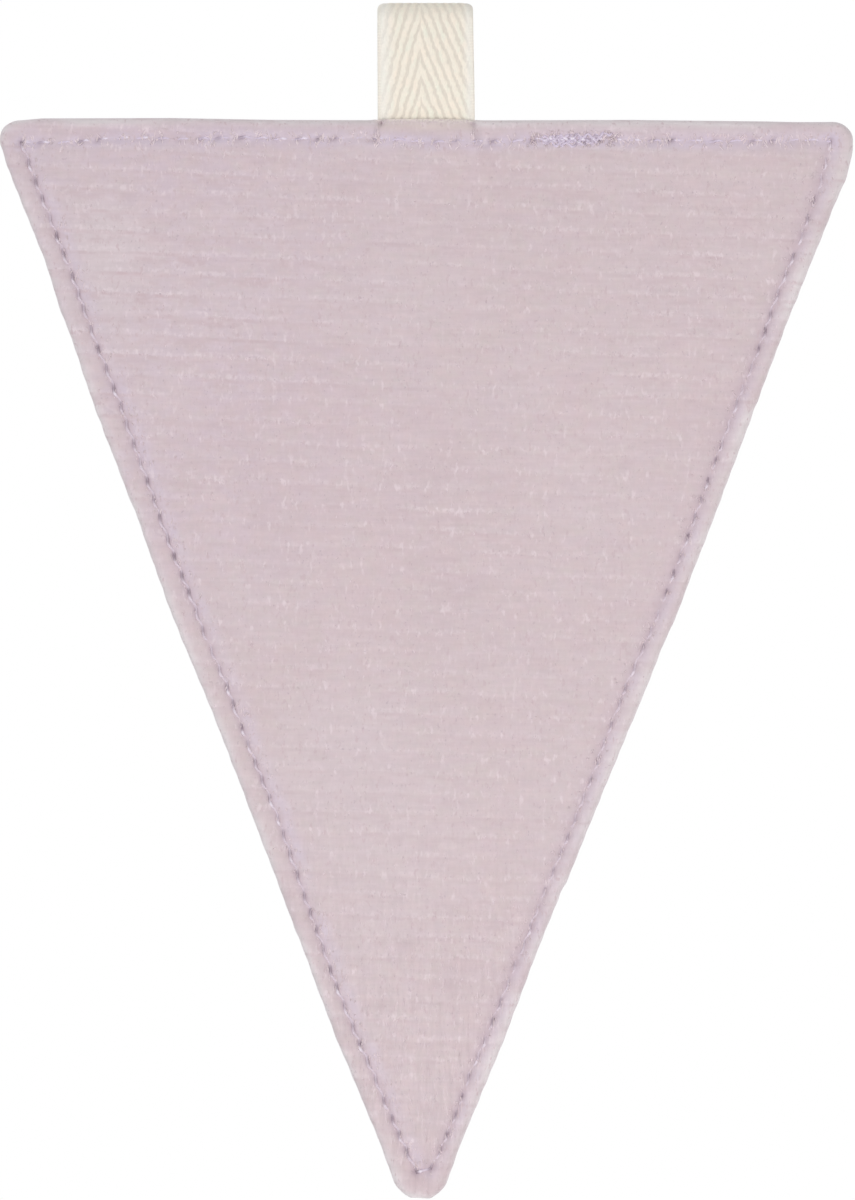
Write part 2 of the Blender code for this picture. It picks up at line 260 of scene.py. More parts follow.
# How the hung cloth stands off a plane: a slow bow down its length, a forward tip, curled corners
SWAY = 0.8 * MM
TIP_CURL = 1.4 * MM
CORNER_CURL = 1.3 * MM
STRAIGHT_TO = -40.0 * MM
HALF_WIDTH = 88.0 * MM
HALF_GAP = 0.05 * MM

# Rows and columns of the mesh, closer together at the rim and the stitches
TOP_ROWS = np.concatenate(((0.0, 0.06, 0.2, 0.45), np.arange(0.8, 8.0, 0.4))) * MM
ROW_STEP = 0.7 * MM
TIP_ROWS = np.concatenate((np.arange(3.2, 0.5, -0.4), (0.4, 0.2, 0.06, 0.0))) * MM
RIM_COLUMNS = np.concatenate(((0.0, 0.06, 0.2, 0.45), np.arange(0.8, 6.1, 0.4), (6.7, 7.5))) * MM
RIM_SHARE = 0.3
MIDDLE_COLUMNS = 205

# The corner from which random patches are counted, and how wide and high they reach, in metres
PATCH_CORNER = (-0.105, 0.01)
PATCH_REACH = (0.22, 0.28)
CHUNK = 3000


def smoothstep(low, high, value):
    """0 at low and 1 at high, which may be the smaller, with a soft rise between them."""
    share = np.clip((value - low) / (high - low), 0.0, 1.0)
    return share * share * (3.0 - 2.0 * share)


def patches(x, z, width, height, seed):
    """Soft random patches of about that size, from -1 to 1."""
    size = (int(PATCH_REACH[0] / width) + 3, int(PATCH_REACH[1] / height) + 3)
    lattice = np.random.default_rng(seed).uniform(-1.0, 1.0, size)
    across = (x - PATCH_CORNER[0]) / width
    down = (PATCH_CORNER[1] - z) / height
    column = np.clip(np.floor(across).astype(int), 0, size[0] - 2)
    row = np.clip(np.floor(down).astype(int), 0, size[1] - 2)
    right = smoothstep(0.0, 1.0, across - column)
    below = smoothstep(0.0, 1.0, down - row)
    upper = lattice[column, row] * (1.0 - right) + lattice[column + 1, row] * right
    lower = lattice[column, row + 1] * (1.0 - right) + lattice[column + 1, row + 1] * right
    return upper * (1.0 - below) + lower * below


def patch_sum(x, z, kinds, seed=0):
    """Several kinds of patches together, each (amount, width and height in mm, seed)."""
    return sum(amount * patches(x, z, width * MM, height * MM, seed + more)
               for amount, width, height, more in kinds)


def soft_spots(x, z, spots):
    """Round soft spots together, each (x, z, radius, amount), the first three in mm."""
    total = np.zeros(len(x))
    for spot_x, spot_z, radius, amount in spots:
        away = (x / MM - spot_x) ** 2 + (z / MM - spot_z) ** 2
        total += amount * np.exp(-away / radius ** 2)
    return total


def band(distance, at, half_width):
    """1 where the distance is that many mm, and fading to 0 on both sides over the half width."""
    return np.exp(-((distance / MM - at) / half_width) ** 2)


def notches(x, z, half_width, half_height):
    """1 in the two dents where the tape's edges run into the seam, 0 away from them."""
    return sum(band(x, at_x, half_width) * band(z, at_z, half_height) for at_x, at_z in TAPE_NOTCHES)


def run_along(line):
    """How far along a line each of its points lies."""
    return np.cumsum(np.linalg.norm(np.diff(line, axis=0, prepend=line[:1]), axis=1))


def heading(line, steps=1.0):
    """The direction of a line at each of its points."""
    ahead = np.gradient(line, steps, axis=0)
    return ahead / np.maximum(np.linalg.norm(ahead, axis=1), 1e-12)[:, None]


def bowed_side(start, end, bow):
    """A straight side, bowed outwards by that much in its middle."""
    share = np.linspace(0.0, 1.0, SIDE_STEPS)[:, None]
    along = end - start
    outward = np.array((-along[1], along[0])) / np.linalg.norm(along)
    return start + along * share + outward * bow * 4.0 * share * (1.0 - share)


def rounded_corner(before, after, radius):
    """The arc between two sides that meet at a corner, and the sides cut back to its ends."""
    corner = after[0]
    arriving = (before[-1] - before[-2]) / np.linalg.norm(before[-1] - before[-2])
    leaving = (after[1] - after[0]) / np.linalg.norm(after[1] - after[0])
    half = math.acos(np.dot(-arriving, leaving)) / 2.0
    reach = radius / math.tan(half)
    inward = (leaving - arriving) / np.linalg.norm(leaving - arriving)
    centre = corner + inward * radius / math.sin(half)
    spoke = corner - arriving * reach - centre
    turn = np.linspace(0.0, 2.0 * half - math.pi, ARC_STEPS)
    across = np.array((-spoke[1], spoke[0]))
    arc = centre + np.cos(turn)[:, None] * spoke + np.sin(turn)[:, None] * across
    kept_before = before[np.linalg.norm(before - corner, axis=1) > reach]
    kept_after = after[np.linalg.norm(after - corner, axis=1) > reach]
    return kept_before, arc, kept_after


def uneven_edge(edge, places, outward_sign, seed):
    """The edge from the top down, pushed out and in as the turned cloth is."""
    heights, amounts = np.array(places).T * MM
    run = run_along(edge)
    along = heading(edge)
    outward = np.stack((along[:, 1], -along[:, 0]), axis=1) * outward_sign
    push = np.interp(-edge[:, 1], -heights, amounts)
    push += EDGE_WAVER * patches(edge[:, 0], edge[:, 1], *EDGE_WAVER_SIZE, seed)
    turn = (edge[:, 1] - RIB_FIRST - edge[:, 0] * RIB_TILT) / RIB_PITCH
    push += EDGE_RIB * np.cos(2.0 * math.pi * turn)
    push *= smoothstep(0.0, 6.0 * MM, run) * smoothstep(0.0, 2.0 * MM, run[-1] - run)
    return edge + outward * push[:, None]


def outline():
    """The left and the right edge, each from the top edge down to the tip's lowest point."""
    top = bowed_side(TOP_LEFT, TOP_RIGHT, 0.0)
    right = bowed_side(TOP_RIGHT, TIP, RIGHT_BOW)
    left = bowed_side(TIP, TOP_LEFT, LEFT_BOW)
    top, right_arc, right = rounded_corner(top, right, TOP_RIGHT_RADIUS)
    right, tip_arc, left = rounded_corner(right, left, TIP_RADIUS)
    left, left_arc, top = rounded_corner(left, top, TOP_LEFT_RADIUS)
    lowest = np.argmin(tip_arc[:, 1] - tip_arc[:, 0] * RIB_TILT)
    right_edge = np.vstack((right_arc, right, tip_arc[:lowest + 1]))
    left_edge = np.vstack((tip_arc[lowest:], left, left_arc))[::-1]
    left_edge = uneven_edge(left_edge, LEFT_UNEVEN, 1.0, 11)
    return left_edge, uneven_edge(right_edge, RIGHT_UNEVEN, -1.0, 12)


LEFT_EDGE, RIGHT_EDGE = outline()
TOP_SLOPE = (RIGHT_EDGE[0, 1] - LEFT_EDGE[0, 1]) / (RIGHT_EDGE[0, 0] - LEFT_EDGE[0, 0])
TOP_HEIGHT = LEFT_EDGE[0, 1] - LEFT_EDGE[0, 0] * TOP_SLOPE
TIP_HEIGHT = LEFT_EDGE[-1, 1] - LEFT_EDGE[-1, 0] * RIB_TILT


def top_lift(x, z):
    """How far the cloth near the top edge is pushed up or down."""
    places, amounts = np.array(TOP_UNEVEN).T * MM
    below = TOP_HEIGHT + TOP_SLOPE * x - z
    return np.interp(x, places, amounts) * smoothstep(TOP_LIFT_DEPTH, 0.0, below)


TOP_EDGE = np.linspace(LEFT_EDGE[0], RIGHT_EDGE[0], 200)
RING = np.vstack((LEFT_EDGE[::-3], TOP_EDGE, RIGHT_EDGE[::3], LEFT_EDGE[-1:]))
RING[:, 1] += top_lift(RING[:, 0], RING[:, 1])


def stitch_line(places, seed):
    """A row of stitching through its places, wandering a little between them."""
    places = np.array(places) * MM
    run = run_along(places)
    steps = np.linspace(0.0, run[-1], max(round(run[-1] / LINE_STEP), LINE_LEAST_STEPS))
    line = np.stack([np.interp(steps, run, places[:, axis]) for axis in (0, 1)], axis=1)
    soft = np.exp(-np.arange(-LINE_SOFT_STEPS, LINE_SOFT_STEPS + 1) ** 2 / LINE_SOFTNESS)
    before = 2.0 * line[0] - line[LINE_SOFT_STEPS:0:-1]
    beyond = 2.0 * line[-1] - line[-2:-2 - LINE_SOFT_STEPS:-1]
    padded = np.vstack((before, line, beyond)).T
    line = np.stack([np.convolve(part, soft / soft.sum(), "valid") for part in padded], axis=1)
    along = heading(line)
    aside = np.stack((along[:, 1], -along[:, 0]), axis=1)
    turns = np.arange(0.0, 0.3, LINE_WANDER_STEP)
    wander = np.random.default_rng(seed).uniform(-1.0, 1.0, len(turns))
    wander = LINE_WANDER * np.interp(steps, turns, wander)
    wander *= np.clip(np.minimum(steps, run[-1] - steps) / (3.0 * MM), 0.0, 1.0)
    return line + aside * wander[:, None]


STITCH_ROWS = (STITCH_TOP, STITCH_LEFT, STITCH_RIGHT, STITCH_TIP)
STITCHING = [stitch_line(places, 21 + row) for row, places in enumerate(STITCH_ROWS)]


def distance_to(lines, x, z):
    """Distance of each point from the nearest of these lines' straight pieces."""
    start = np.vstack([line[:-1] for line in lines])
    along = np.vstack([line[1:] - line[:-1] for line in lines])
    length = np.maximum((along ** 2).sum(axis=1), 1e-18)
    nearest = np.empty(len(x))
    for first in range(0, len(x), CHUNK):
        part = slice(first, first + CHUNK)
        offset_x = x[part, None] - start[:, 0]
        offset_z = z[part, None] - start[:, 1]
        share = np.clip((offset_x * along[:, 0] + offset_z * along[:, 1]) / length, 0.0, 1.0)
        gap_x = offset_x - share * along[:, 0]
        gap_z = offset_z - share * along[:, 1]
        nearest[part] = np.sqrt((gap_x ** 2 + gap_z ** 2).min(axis=1))
    return nearest


def rim_depth(x, z):
    """Depth in from the rim, stretched so that the stitches always lie at the same value."""
    from_edge = distance_to([RING], x, z)
    from_stitches = distance_to(STITCHING, x, z)
    top_row, left_row, right_row = STITCHING[:3]
    inside = x > np.interp(-z, -left_row[:, 1], left_row[:, 0])
    inside &= x < np.interp(-z, -right_row[:, 1], right_row[:, 0])
    inside &= z < np.interp(x, top_row[:, 0], top_row[:, 1])
    inside &= z > left_row[-1, 1]
    outer = STITCH_DEPTH * from_edge / np.maximum(from_edge + from_stitches, 1e-9)
    return np.where(inside, STITCH_DEPTH + from_stitches, outer), from_stitches


def stitch_places(line, pitch, seed):
    """Where the needle goes through along a row, a little uneven."""
    run = run_along(line)
    count = round(run[-1] / pitch)
    places = np.linspace(0.0, run[-1], count + 1)
    places[1:-1] += np.random.default_rng(seed).normal(0.0, STITCH_UNEVEN, count - 1)
    return places, run


def hole_strength(row, count):
    """How hard the thread pulls at each of a row's holes; the pile hides some of them."""
    least, most, rarity = ROW_PULL[row]
    strength = least + (most - least) * np.random.default_rng(41 + row).random(count) ** rarity
    if row > 0:
        strength[-TIP_STITCHES:] = np.maximum(strength[-TIP_STITCHES:], TIP_PULL)
    return strength


def needle_pull(x, z):
    """0 away from the stitches' holes, 1 in them; the holes are long along the row."""
    pull = NOTCH_PULL * notches(x, z, 0.5, 0.55)
    for row, line in enumerate(STITCHING):
        places, run = stitch_places(line, STITCH_PITCH, 31 + row)
        strength = hole_strength(row, len(places))
        at, before, after = [
            np.stack([np.interp(places + step, run, line[:, axis]) for axis in (0, 1)])
            for step in (0.0, -0.5 * MM, 0.5 * MM)
        ]
        slant = np.arctan2(*(after - before)[::-1]) + ROW_SLANT[row]
        for at_x, at_z, run_x, run_z, deep in zip(*at, np.cos(slant), np.sin(slant), strength):
            near = np.flatnonzero((np.abs(x - at_x) < HOLE_REACH) & (np.abs(z - at_z) < HOLE_REACH))
            along = (x[near] - at_x) * run_x + (z[near] - at_z) * run_z
            aside = (x[near] - at_x) * run_z - (z[near] - at_z) * run_x
            hole = deep * np.exp(-(along / HOLE_LENGTH) ** 2 - (aside / HOLE_WIDTH) ** 2)
            pull[near] = np.maximum(pull[near], hole)
    return pull


def stand_off(x, z):
    """How far the seam's plane stands behind the plane y = 0."""
    down = np.clip((STRAIGHT_TO - z) / (STRAIGHT_TO - TIP_HEIGHT), 0.0, 1.0)
    bow = SWAY * np.sin(math.pi * down) ** 2 - TIP_CURL * down ** 3
    return bow - CORNER_CURL * np.abs(x / HALF_WIDTH) ** 3


def rib_turn(x, z, seed):
    """How many ribs down from the first each point lies; the ribs wander a little."""
    wander = RIB_WANDER * patches(x, z, *RIB_WANDER_SIZE, seed)
    return (RIB_FIRST + wander - (z - x * RIB_TILT)) / RIB_PITCH


def rib_strength(x, z, seed):
    """How far the ribs stand out: they fade and come back along their length."""
    broken = 0.8 + patch_sum(x, z, RIB_BROKEN, seed)
    return (RIB_LEAST + soft_spots(x, z, RIB_STRONG)) * np.maximum(broken, 0.0)


def rib_ridges(x, z, seed):
    """The ribs' height: a round swell with a narrow main ridge and a weaker one between."""
    turn = rib_turn(x, z, seed)
    height = RIB_SWELL * np.cos(2.0 * math.pi * (turn - RIB_SWELL_AT))
    for place, half_width, high in RIB_RIDGES:
        away = (turn + 0.5 - place) % 1.0 - 0.5
        height += high * np.exp(-(away / half_width) ** 2)
    return height * rib_strength(x, z, seed)


def pile_nap_light_and_shade(x, z):
    """Where the pile is brushed up and lighter, above 0, or laid down and pinker, below 0: painted
    light and shade of the nap and of the cloth's soft hollows.
    """
    return patch_sum(x, z, NAP_LIGHT_AND_SHADE_PATCHES) + soft_spots(x, z, NAP_LIGHT_AND_SHADE_SPOTS)


def face_height(x, z, depth, seed):
    """Height of a panel's face over the seam's plane."""
    steps, plain, taped = np.array(RIM_PROFILE).T * MM
    fine = np.arange(-3.0 * MM, 34.0 * MM, PROFILE_STEP)
    soft = np.exp(-(np.arange(-1.2 * MM, 1.21 * MM, PROFILE_STEP) / PROFILE_SOFTNESS) ** 2)
    soft /= soft.sum()
    depth_in = np.minimum(depth, steps[-1])
    low, high = [
        np.interp(depth_in, fine, np.convolve(np.interp(fine, steps, heights), soft, "same"))
        for heights in (plain, taped)
    ]
    side = 1.0 * MM + 2.6 * MM * smoothstep(3.5 * MM, 7.0 * MM, depth)
    taped_here = 1.0 - smoothstep(0.0, 1.0, (np.abs(x) - TAPE_HALF_WIDTH + 0.2 * MM) / side)
    taped_here *= smoothstep(TAPE_END - 8.0 * MM, TAPE_END - 2.0 * MM, z)
    height = low + (high - low) * taped_here
    lip = SEAM_LIP + (SEAM_LIP_AT_TAPE - SEAM_LIP) * taped_here
    turned = np.sqrt(np.maximum(1.0 - (1.0 - np.clip(depth / RIM_ROUND, 0.0, 1.0)) ** 2, 0.0))
    height = lip + (height - lip) * turned
    height += CROWN * smoothstep(CROWN_FROM, CROWN_FULL, depth)
    height += MM * soft_spots(x, z, SOFT_SPOTS)
    away = smoothstep(0.3 * MM, 1.6 * MM, depth)
    height += away * RIB_RELIEF * rib_ridges(x, z, seed)
    height += away * MM * patch_sum(x, z, FACE_PATCHES, seed)
    tape_rim = band(np.abs(x) - TAPE_HALF_WIDTH, -0.1, 0.4) * smoothstep(-27.6 * MM, -26.6 * MM, z)
    return height + turned * (TAPE_RIM * tape_rim - NOTCH_DEPTH * notches(x, z, 0.6, 0.7))


def row_ends(heights, slopes):
    """Where each row's line meets the left and the right edge."""
    return np.array([
        [np.interp(-height, -(edge[:, 1] - edge[:, 0] * slope), edge[:, 0])
         for height, slope in zip(heights, slopes)]
        for edge in (LEFT_EDGE, RIGHT_EDGE)
    ])


def cloth_grid():
    """The x and z of every row and column, the rows following the ribs and the top edge."""
    top = TOP_HEIGHT - TOP_ROWS
    tip = TIP_HEIGHT + TIP_ROWS
    count = round((top[-1] - tip[0]) / ROW_STEP)
    heights = np.concatenate((top[:-1], np.linspace(top[-1], tip[0], count), tip[1:]))
    slant = smoothstep(0.0, RIB_TILT_DEPTH, TOP_HEIGHT - heights)
    slopes = TOP_SLOPE + (RIB_TILT - TOP_SLOPE) * slant
    left, right = row_ends(heights, slopes)
    width = right - left
    rim = RIM_COLUMNS[None, :] * np.minimum(1.0, RIM_SHARE * width / RIM_COLUMNS[-1])[:, None]
    middle = np.linspace(0.0, 1.0, MIDDLE_COLUMNS + 2)[1:-1]
    middle = (left + rim[:, -1])[:, None] + (width - 2.0 * rim[:, -1])[:, None] * middle
    x = np.hstack((left[:, None] + rim, middle, right[:, None] - rim[:, ::-1]))
    z = heights[:, None] + slopes[:, None] * x
    return x, z + top_lift(x, z)


GRID_X, GRID_Z = cloth_grid()
FLAT_X, FLAT_Z = GRID_X.ravel(), GRID_Z.ravel()
CLOTH_DEPTH, CLOTH_STITCH = rim_depth(FLAT_X, FLAT_Z)
CLOTH_DEPTH = CLOTH_DEPTH.reshape(GRID_X.shape)
CLOTH_DEPTH[0, :] = CLOTH_DEPTH[-1, :] = CLOTH_DEPTH[:, 0] = CLOTH_DEPTH[:, -1] = 0.0
CLOTH_DEPTH = CLOTH_DEPTH.ravel()
CLOTH_PULL = needle_pull(FLAT_X, FLAT_Z)


def pocket_height(x, z):
    """The cloth's wrong side: close to the seam's plane, but over the tape where its ends lie."""
    share = 1.0 - smoothstep(TAPE_HALF_WIDTH + 0.3 * MM, TAPE_HALF_WIDTH + 0.9 * MM, np.abs(x))
    share = share * smoothstep(TAPE_END - 1.2 * MM, TAPE_END - 0.6 * MM, z)
    return HALF_GAP + (POCKET_HEIGHT - HALF_GAP) * share


def before_tape(x):
    """1 across the width where the cloth's top edge lies before the tape, 0 beside it."""
    return smoothstep(11.0 * MM, 9.4 * MM, np.abs(x))


def top_edge_over_tape(x, z):
    """Where the cloth's top edge lies over the tape, its pile a warmer beige."""
    return before_tape(x) * smoothstep(-27.0 * MM, -25.0 * MM, z)


def painted_rim_light(x, z, depth):
    """Painted highlight of the pile's sheen where the cloth turns round the edge, wider on the right,
    with more painted light along the very edge.
    """
    right = smoothstep(-3.0 * MM, 4.0 * MM, x)
    near_top = smoothstep(-29.0 * MM, -25.0 * MM, z)
    blotchy = 0.8 + 0.9 * patches(x, z, 9.0 * MM, 6.0 * MM, 71)
    amount = (0.62 + 0.18 * right + 0.43 * near_top) * (1.0 - 0.75 * top_edge_over_tape(x, z))
    light = amount * band(depth, 0.0, 1.4 + 1.1 * right * (1.0 - near_top))
    return light * np.maximum(blotchy, 0.0) + 0.45 * band(depth, 0.0, 0.5)


def stitch_haze_and_sheen(x, z, inside):
    """Lilac fluff of the thread with painted sheen where the cloth slopes into the seam: inside the
    left row, outside the right one, round the top one.
    """
    top, left, right = [distance_to([line], x, z) for line in STITCHING[:3]]
    below_tape = 0.35 * before_tape(x) * (z > -27.0 * MM)
    haze = 0.9 * band(left, 1.5, 1.5) * inside + 0.7 * band(right, 1.2, 1.2) * ~inside
    haze += (1.6 - below_tape) * band(top, 0.0, 1.7)
    haze *= 0.85 + patch_sum(x, z, HAZE_PATCHES)
    tack = np.exp(-((x / MM - 29.5) / 8.5) ** 4) * band(z, -27.7, 1.6)
    return np.minimum(np.maximum(haze, 0.0) + 0.85 * tack, HAZE_MOST)


def pile_cast(x, z):
    """The pile's colour leans to violet in the upper left, above 0, and to grey lower down."""
    violet = smoothstep(15.0 * MM, -60.0 * MM, x) * smoothstep(-165.0 * MM, -75.0 * MM, z)
    return violet - 0.4 * smoothstep(-95.0 * MM, -150.0 * MM, z) * (1.0 - violet)


def stitch_groove_shade(x, z, inside):
    """Painted shade in the furrow that the stitches lie in, wider inside the right row and over the
    top.
    """
    top, right = [distance_to([STITCHING[row]], x, z) for row in (0, 2)]
    groove_shade = band(CLOTH_STITCH, 0.0, 0.9) + 0.35 * band(right, 1.3, 1.1) * inside
    groove_shade *= smoothstep(-27.0 * MM, -31.0 * MM, z)
    over_row = (z > -27.8 * MM) & (np.abs(x) < 82.0 * MM)
    return groove_shade + 0.38 * band(top, 1.7, 1.2) * over_row


PULL_DEPTH = 0.30 * MM
PANEL_SEEDS = {-1: 101, 1: 201}
LINING_COLUMNS = (-60, -35, -10.9, -10.3, 10.3, 10.9, 35, 60)
LINING_ROWS = (-33, -33.6, -60, -90, -120, -150, -180, -210)


def finished_piece(name, bm):
    """The mesh drawn in bm, as an object at the origin."""
    mesh = bpy.data.meshes.new(name)
    bm.to_mesh(mesh)
    bm.free()
    piece = bpy.data.objects.new(name, mesh)
    bpy.context.scene.collection.objects.link(piece)
    return piece


def grid_place(vert, columns, rows):
    """How many of its columns and rows a new grid's vertex stands from its lower left corner."""
    return round((1.0 + vert.co.x) / 2.0 * columns), round((1.0 + vert.co.y) / 2.0 * rows)


def velvet_panel(name, facing):
    """One panel, its face towards -Y (facing -1) or +Y (1), closed at the back."""
    seed = PANEL_SEEDS[facing]
    down, across = GRID_X.shape[0] - 1, GRID_X.shape[1] - 1
    bm = bmesh.new()
    bmesh.ops.create_grid(bm, x_segments=across, y_segments=down, size=1.0)
    height = face_height(FLAT_X, FLAT_Z, CLOTH_DEPTH, seed) - PULL_DEPTH * CLOTH_PULL
    y = stand_off(FLAT_X, FLAT_Z) + facing * height
    inside = CLOTH_DEPTH > STITCH_DEPTH
    edge_over_tape = top_edge_over_tape(FLAT_X, FLAT_Z)
    values = {
        # the thread's fluff with painted sheen
        "haze_and_sheen": stitch_haze_and_sheen(FLAT_X, FLAT_Z, inside),
        # painted shade in the stitches' furrow
        "groove_shade": stitch_groove_shade(FLAT_X, FLAT_Z, inside),
        # also painted shade in the needle holes and in the tape's dents
        "pull": CLOTH_PULL,
        # painted highlight of the pile's sheen round the rim
        "rim": painted_rim_light(FLAT_X, FLAT_Z, CLOTH_DEPTH),
        "beige_over_tape": edge_over_tape,
        # painted highlight on the very edge over the tape
        "edge_over_tape": edge_over_tape * band(CLOTH_DEPTH, 0.0, 0.6),
        # painted light and shade of the nap and of the cloth's soft hollows
        "nap_light_and_shade": pile_nap_light_and_shade(FLAT_X, FLAT_Z),
        "cast": pile_cast(FLAT_X, FLAT_Z),
        "rib_turn": rib_turn(FLAT_X, FLAT_Z, seed),
        "rib_strength": rib_strength(FLAT_X, FLAT_Z, seed),
    }
    layers = [(bm.verts.layers.float.new(key), value.tolist()) for key, value in values.items()]
    for vert in bm.verts:
        column, row = grid_place(vert, across, down)
        place = (down - row) * (across + 1) + column
        vert.co = (FLAT_X[place], y[place], FLAT_Z[place])
        for layer, value in layers:
            vert[layer] = value[place]
    bmesh.ops.remove_doubles(bm, verts=bm.verts, dist=0.002 * MM)

    def lay_on_seam(verts):
        for vert in verts:
            seam = float(stand_off(vert.co.x, vert.co.z))
            vert.co.y = seam + facing * float(pocket_height(vert.co.x, vert.co.z))

    rim = [edge for edge in bm.edges if edge.is_boundary]
    lip = bmesh.ops.extrude_edge_only(bm, edges=rim)["geom"]
    lay_on_seam(item for item in lip if isinstance(item, bmesh.types.BMVert))
    lining = bmesh.ops.edgeloop_fill(bm, edges=[e for e in bm.edges if e.is_boundary])["faces"]
    cuts = [((at * MM, 0.0, 0.0), (1.0, 0.0, 0.0)) for at in LINING_COLUMNS]
    cuts += [((0.0, 0.0, at * MM), (0.0, 0.0, 1.0)) for at in LINING_ROWS]
    for at, normal in cuts:
        around = {item for face in lining for item in (face, *face.edges, *face.verts)}
        cut = bmesh.ops.bisect_plane(bm, geom=list(around), dist=0.001 * MM,
                                     plane_co=at, plane_no=normal)
        lining = [item for item in cut["geom"] if isinstance(item, bmesh.types.BMFace)]
    lay_on_seam({vert for face in lining for vert in face.verts})
    bmesh.ops.triangulate(bm, faces=lining)
    bmesh.ops.recalc_face_normals(bm, faces=bm.faces)
    # Extruding lists its faces in another order each run, so that all of them are sorted here
    bm.verts.index_update()
    for place, face in enumerate(sorted(bm.faces, key=lambda face: [v.index for v in face.verts])):
        face.index = place
    bm.faces.sort()
    panel = finished_piece(name, bm)
    panel.data.shade_smooth()
    panel.data.set_sharp_from_angle(angle=math.radians(55))
    return panel


def add_node(tree, kind, settings=None, **inputs):
    """A shader node with its settings made and its inputs filled or linked."""
    node = tree.nodes.new(kind)
    for name, value in (settings or {}).items():
        setattr(node, name, value)
    for name, value in inputs.items():
        socket = node.inputs[int(name[1:]) if name[1:].isdigit() else name.replace("_", " ")]
        if isinstance(value, bpy.types.NodeSocket):
            tree.links.new(value, socket)
        else:
            socket.default_value = value
    return node


def blend_colour(tree, share, first, second, way="MIX"):
    """The first colour with that share of the second over it."""
    return add_node(tree, "ShaderNodeMix", {"data_type": "RGBA", "blend_type": way},
                    _0=share, _6=first, _7=second).outputs[2]


def sums(tree, operation, first, second=0.0):
    """One step of arithmetic on one or two values."""
    return add_node(tree, "ShaderNodeMath", {"operation": operation}, _0=first, _1=second).outputs[0]


def times(tree, first, second):
    return sums(tree, "MULTIPLY", first, second)


def spread(tree, value, low, high, to_low, to_high):
    """The value from low to high turned into one from to_low to to_high, and no further."""
    return add_node(tree, "ShaderNodeMapRange", None,
                    _0=value, _1=low, _2=high, _3=to_low, _4=to_high).outputs[0]


def fibre_grain():
    """Uneven fibres: a noise drawn out along z, which shades a colour and gives a height."""
    group = bpy.data.node_groups.new("fibre_grain", "ShaderNodeTree")
    group.interface.new_socket("Colour", in_out="INPUT", socket_type="NodeSocketColor")
    for name in ("Width mm", "Length mm", "Contrast"):
        group.interface.new_socket(name, in_out="INPUT", socket_type="NodeSocketFloat")
    group.interface.new_socket("Colour", in_out="OUTPUT", socket_type="NodeSocketColor")
    group.interface.new_socket("Height", in_out="OUTPUT", socket_type="NodeSocketFloat")
    given = add_node(group, "NodeGroupInput").outputs
    across = sums(group, "DIVIDE", 1000.0, given["Width mm"])
    down = sums(group, "DIVIDE", 1000.0, given["Length mm"])
    scale = add_node(group, "ShaderNodeCombineXYZ", None, X=across, Y=across, Z=down).outputs[0]
    place = add_node(group, "ShaderNodeTexCoord").outputs["Object"]
    place = add_node(group, "ShaderNodeVectorMath", {"operation": "MULTIPLY"}, _0=place, _1=scale)
    noise = add_node(group, "ShaderNodeTexNoise", None, Vector=place.outputs[0], Scale=1.0,
                     Detail=2.0, Roughness=0.55).outputs["Fac"]
    swing = spread(group, noise, 0.3, 0.7, -1.0, 1.0)
    shade = sums(group, "ADD", 1.0, times(group, swing, given["Contrast"]))
    grey = add_node(group, "ShaderNodeCombineColor", None, Red=shade, Green=shade, Blue=shade)
    colour = blend_colour(group, 1.0, given["Colour"], grey.outputs[0], "MULTIPLY")
    add_node(group, "NodeGroupOutput", None, Colour=colour, Height=noise)
    return group


FIBRE_GRAIN = fibre_grain()


def grained(tree, colour, width, length, contrast):
    """The colour shaded by fibres of that width and length in mm, and their height."""
    node = add_node(tree, "ShaderNodeGroup", {"node_tree": FIBRE_GRAIN}, Colour=colour,
                    Width_mm=width, Length_mm=length, Contrast=contrast)
    return node.outputs["Colour"], node.outputs["Height"]


def attribute(tree, name, share=1.0):
    """That share of a value which the mesh holds under this name."""
    value = add_node(tree, "ShaderNodeAttribute", {"attribute_name": name}).outputs["Fac"]
    return value if share == 1.0 else times(tree, value, share)


def rib_line(tree, turn, shift, half_width):
    """1 along the middle of a line in every rib, 0 away from it."""
    turned = sums(tree, "FRACT", sums(tree, "ADD", turn, 10.5 - shift))
    away = sums(tree, "ABSOLUTE", sums(tree, "SUBTRACT", turned, 0.5))
    return spread(tree, away, 0.25 * half_width, half_width, 1.0, 0.0)


PILE = (0.626, 0.522, 0.546, 1.0)
PILE_PINK = (0.630, 0.517, 0.533, 1.0)
PILE_LILAC = (0.614, 0.528, 0.553, 1.0)
PILE_GREY = (0.619, 0.535, 0.538, 1.0)
PILE_VIOLET = (0.621, 0.517, 0.574, 1.0)
PILE_BLUSH = (0.643, 0.512, 0.534, 1.0)
# Painted shade: pinker laid pile, and the shade below and between the ribs
PILE_LAID_AND_SHADED = (0.578, 0.462, 0.490, 1.0)
# Painted light: brushed-up pile
PILE_BRUSHED_AND_LIT = (0.650, 0.565, 0.590, 1.0)
# Painted highlight: pile tips along the ribs and the loose tufts
PILE_PAINTED_HIGHLIGHT = (0.780, 0.680, 0.715, 1.0)
# Painted highlight: the pile's sheen round the rim
PILE_PAINTED_RIM_LIGHT = (0.728, 0.673, 0.686, 1.0)
PILE_BEIGE_OVER_TAPE = (0.645, 0.550, 0.520, 1.0)
# Painted highlight: the very edge over the tape
PILE_EDGE_PAINTED_HIGHLIGHT = (0.860, 0.790, 0.735, 1.0)
# The thread's lilac fluff with painted sheen
PILE_HAZE_AND_SHEEN = (0.636, 0.555, 0.658, 1.0)
# Painted shade in the stitches' furrow
PILE_GROOVE_SHADE = (0.540, 0.435, 0.500, 1.0)
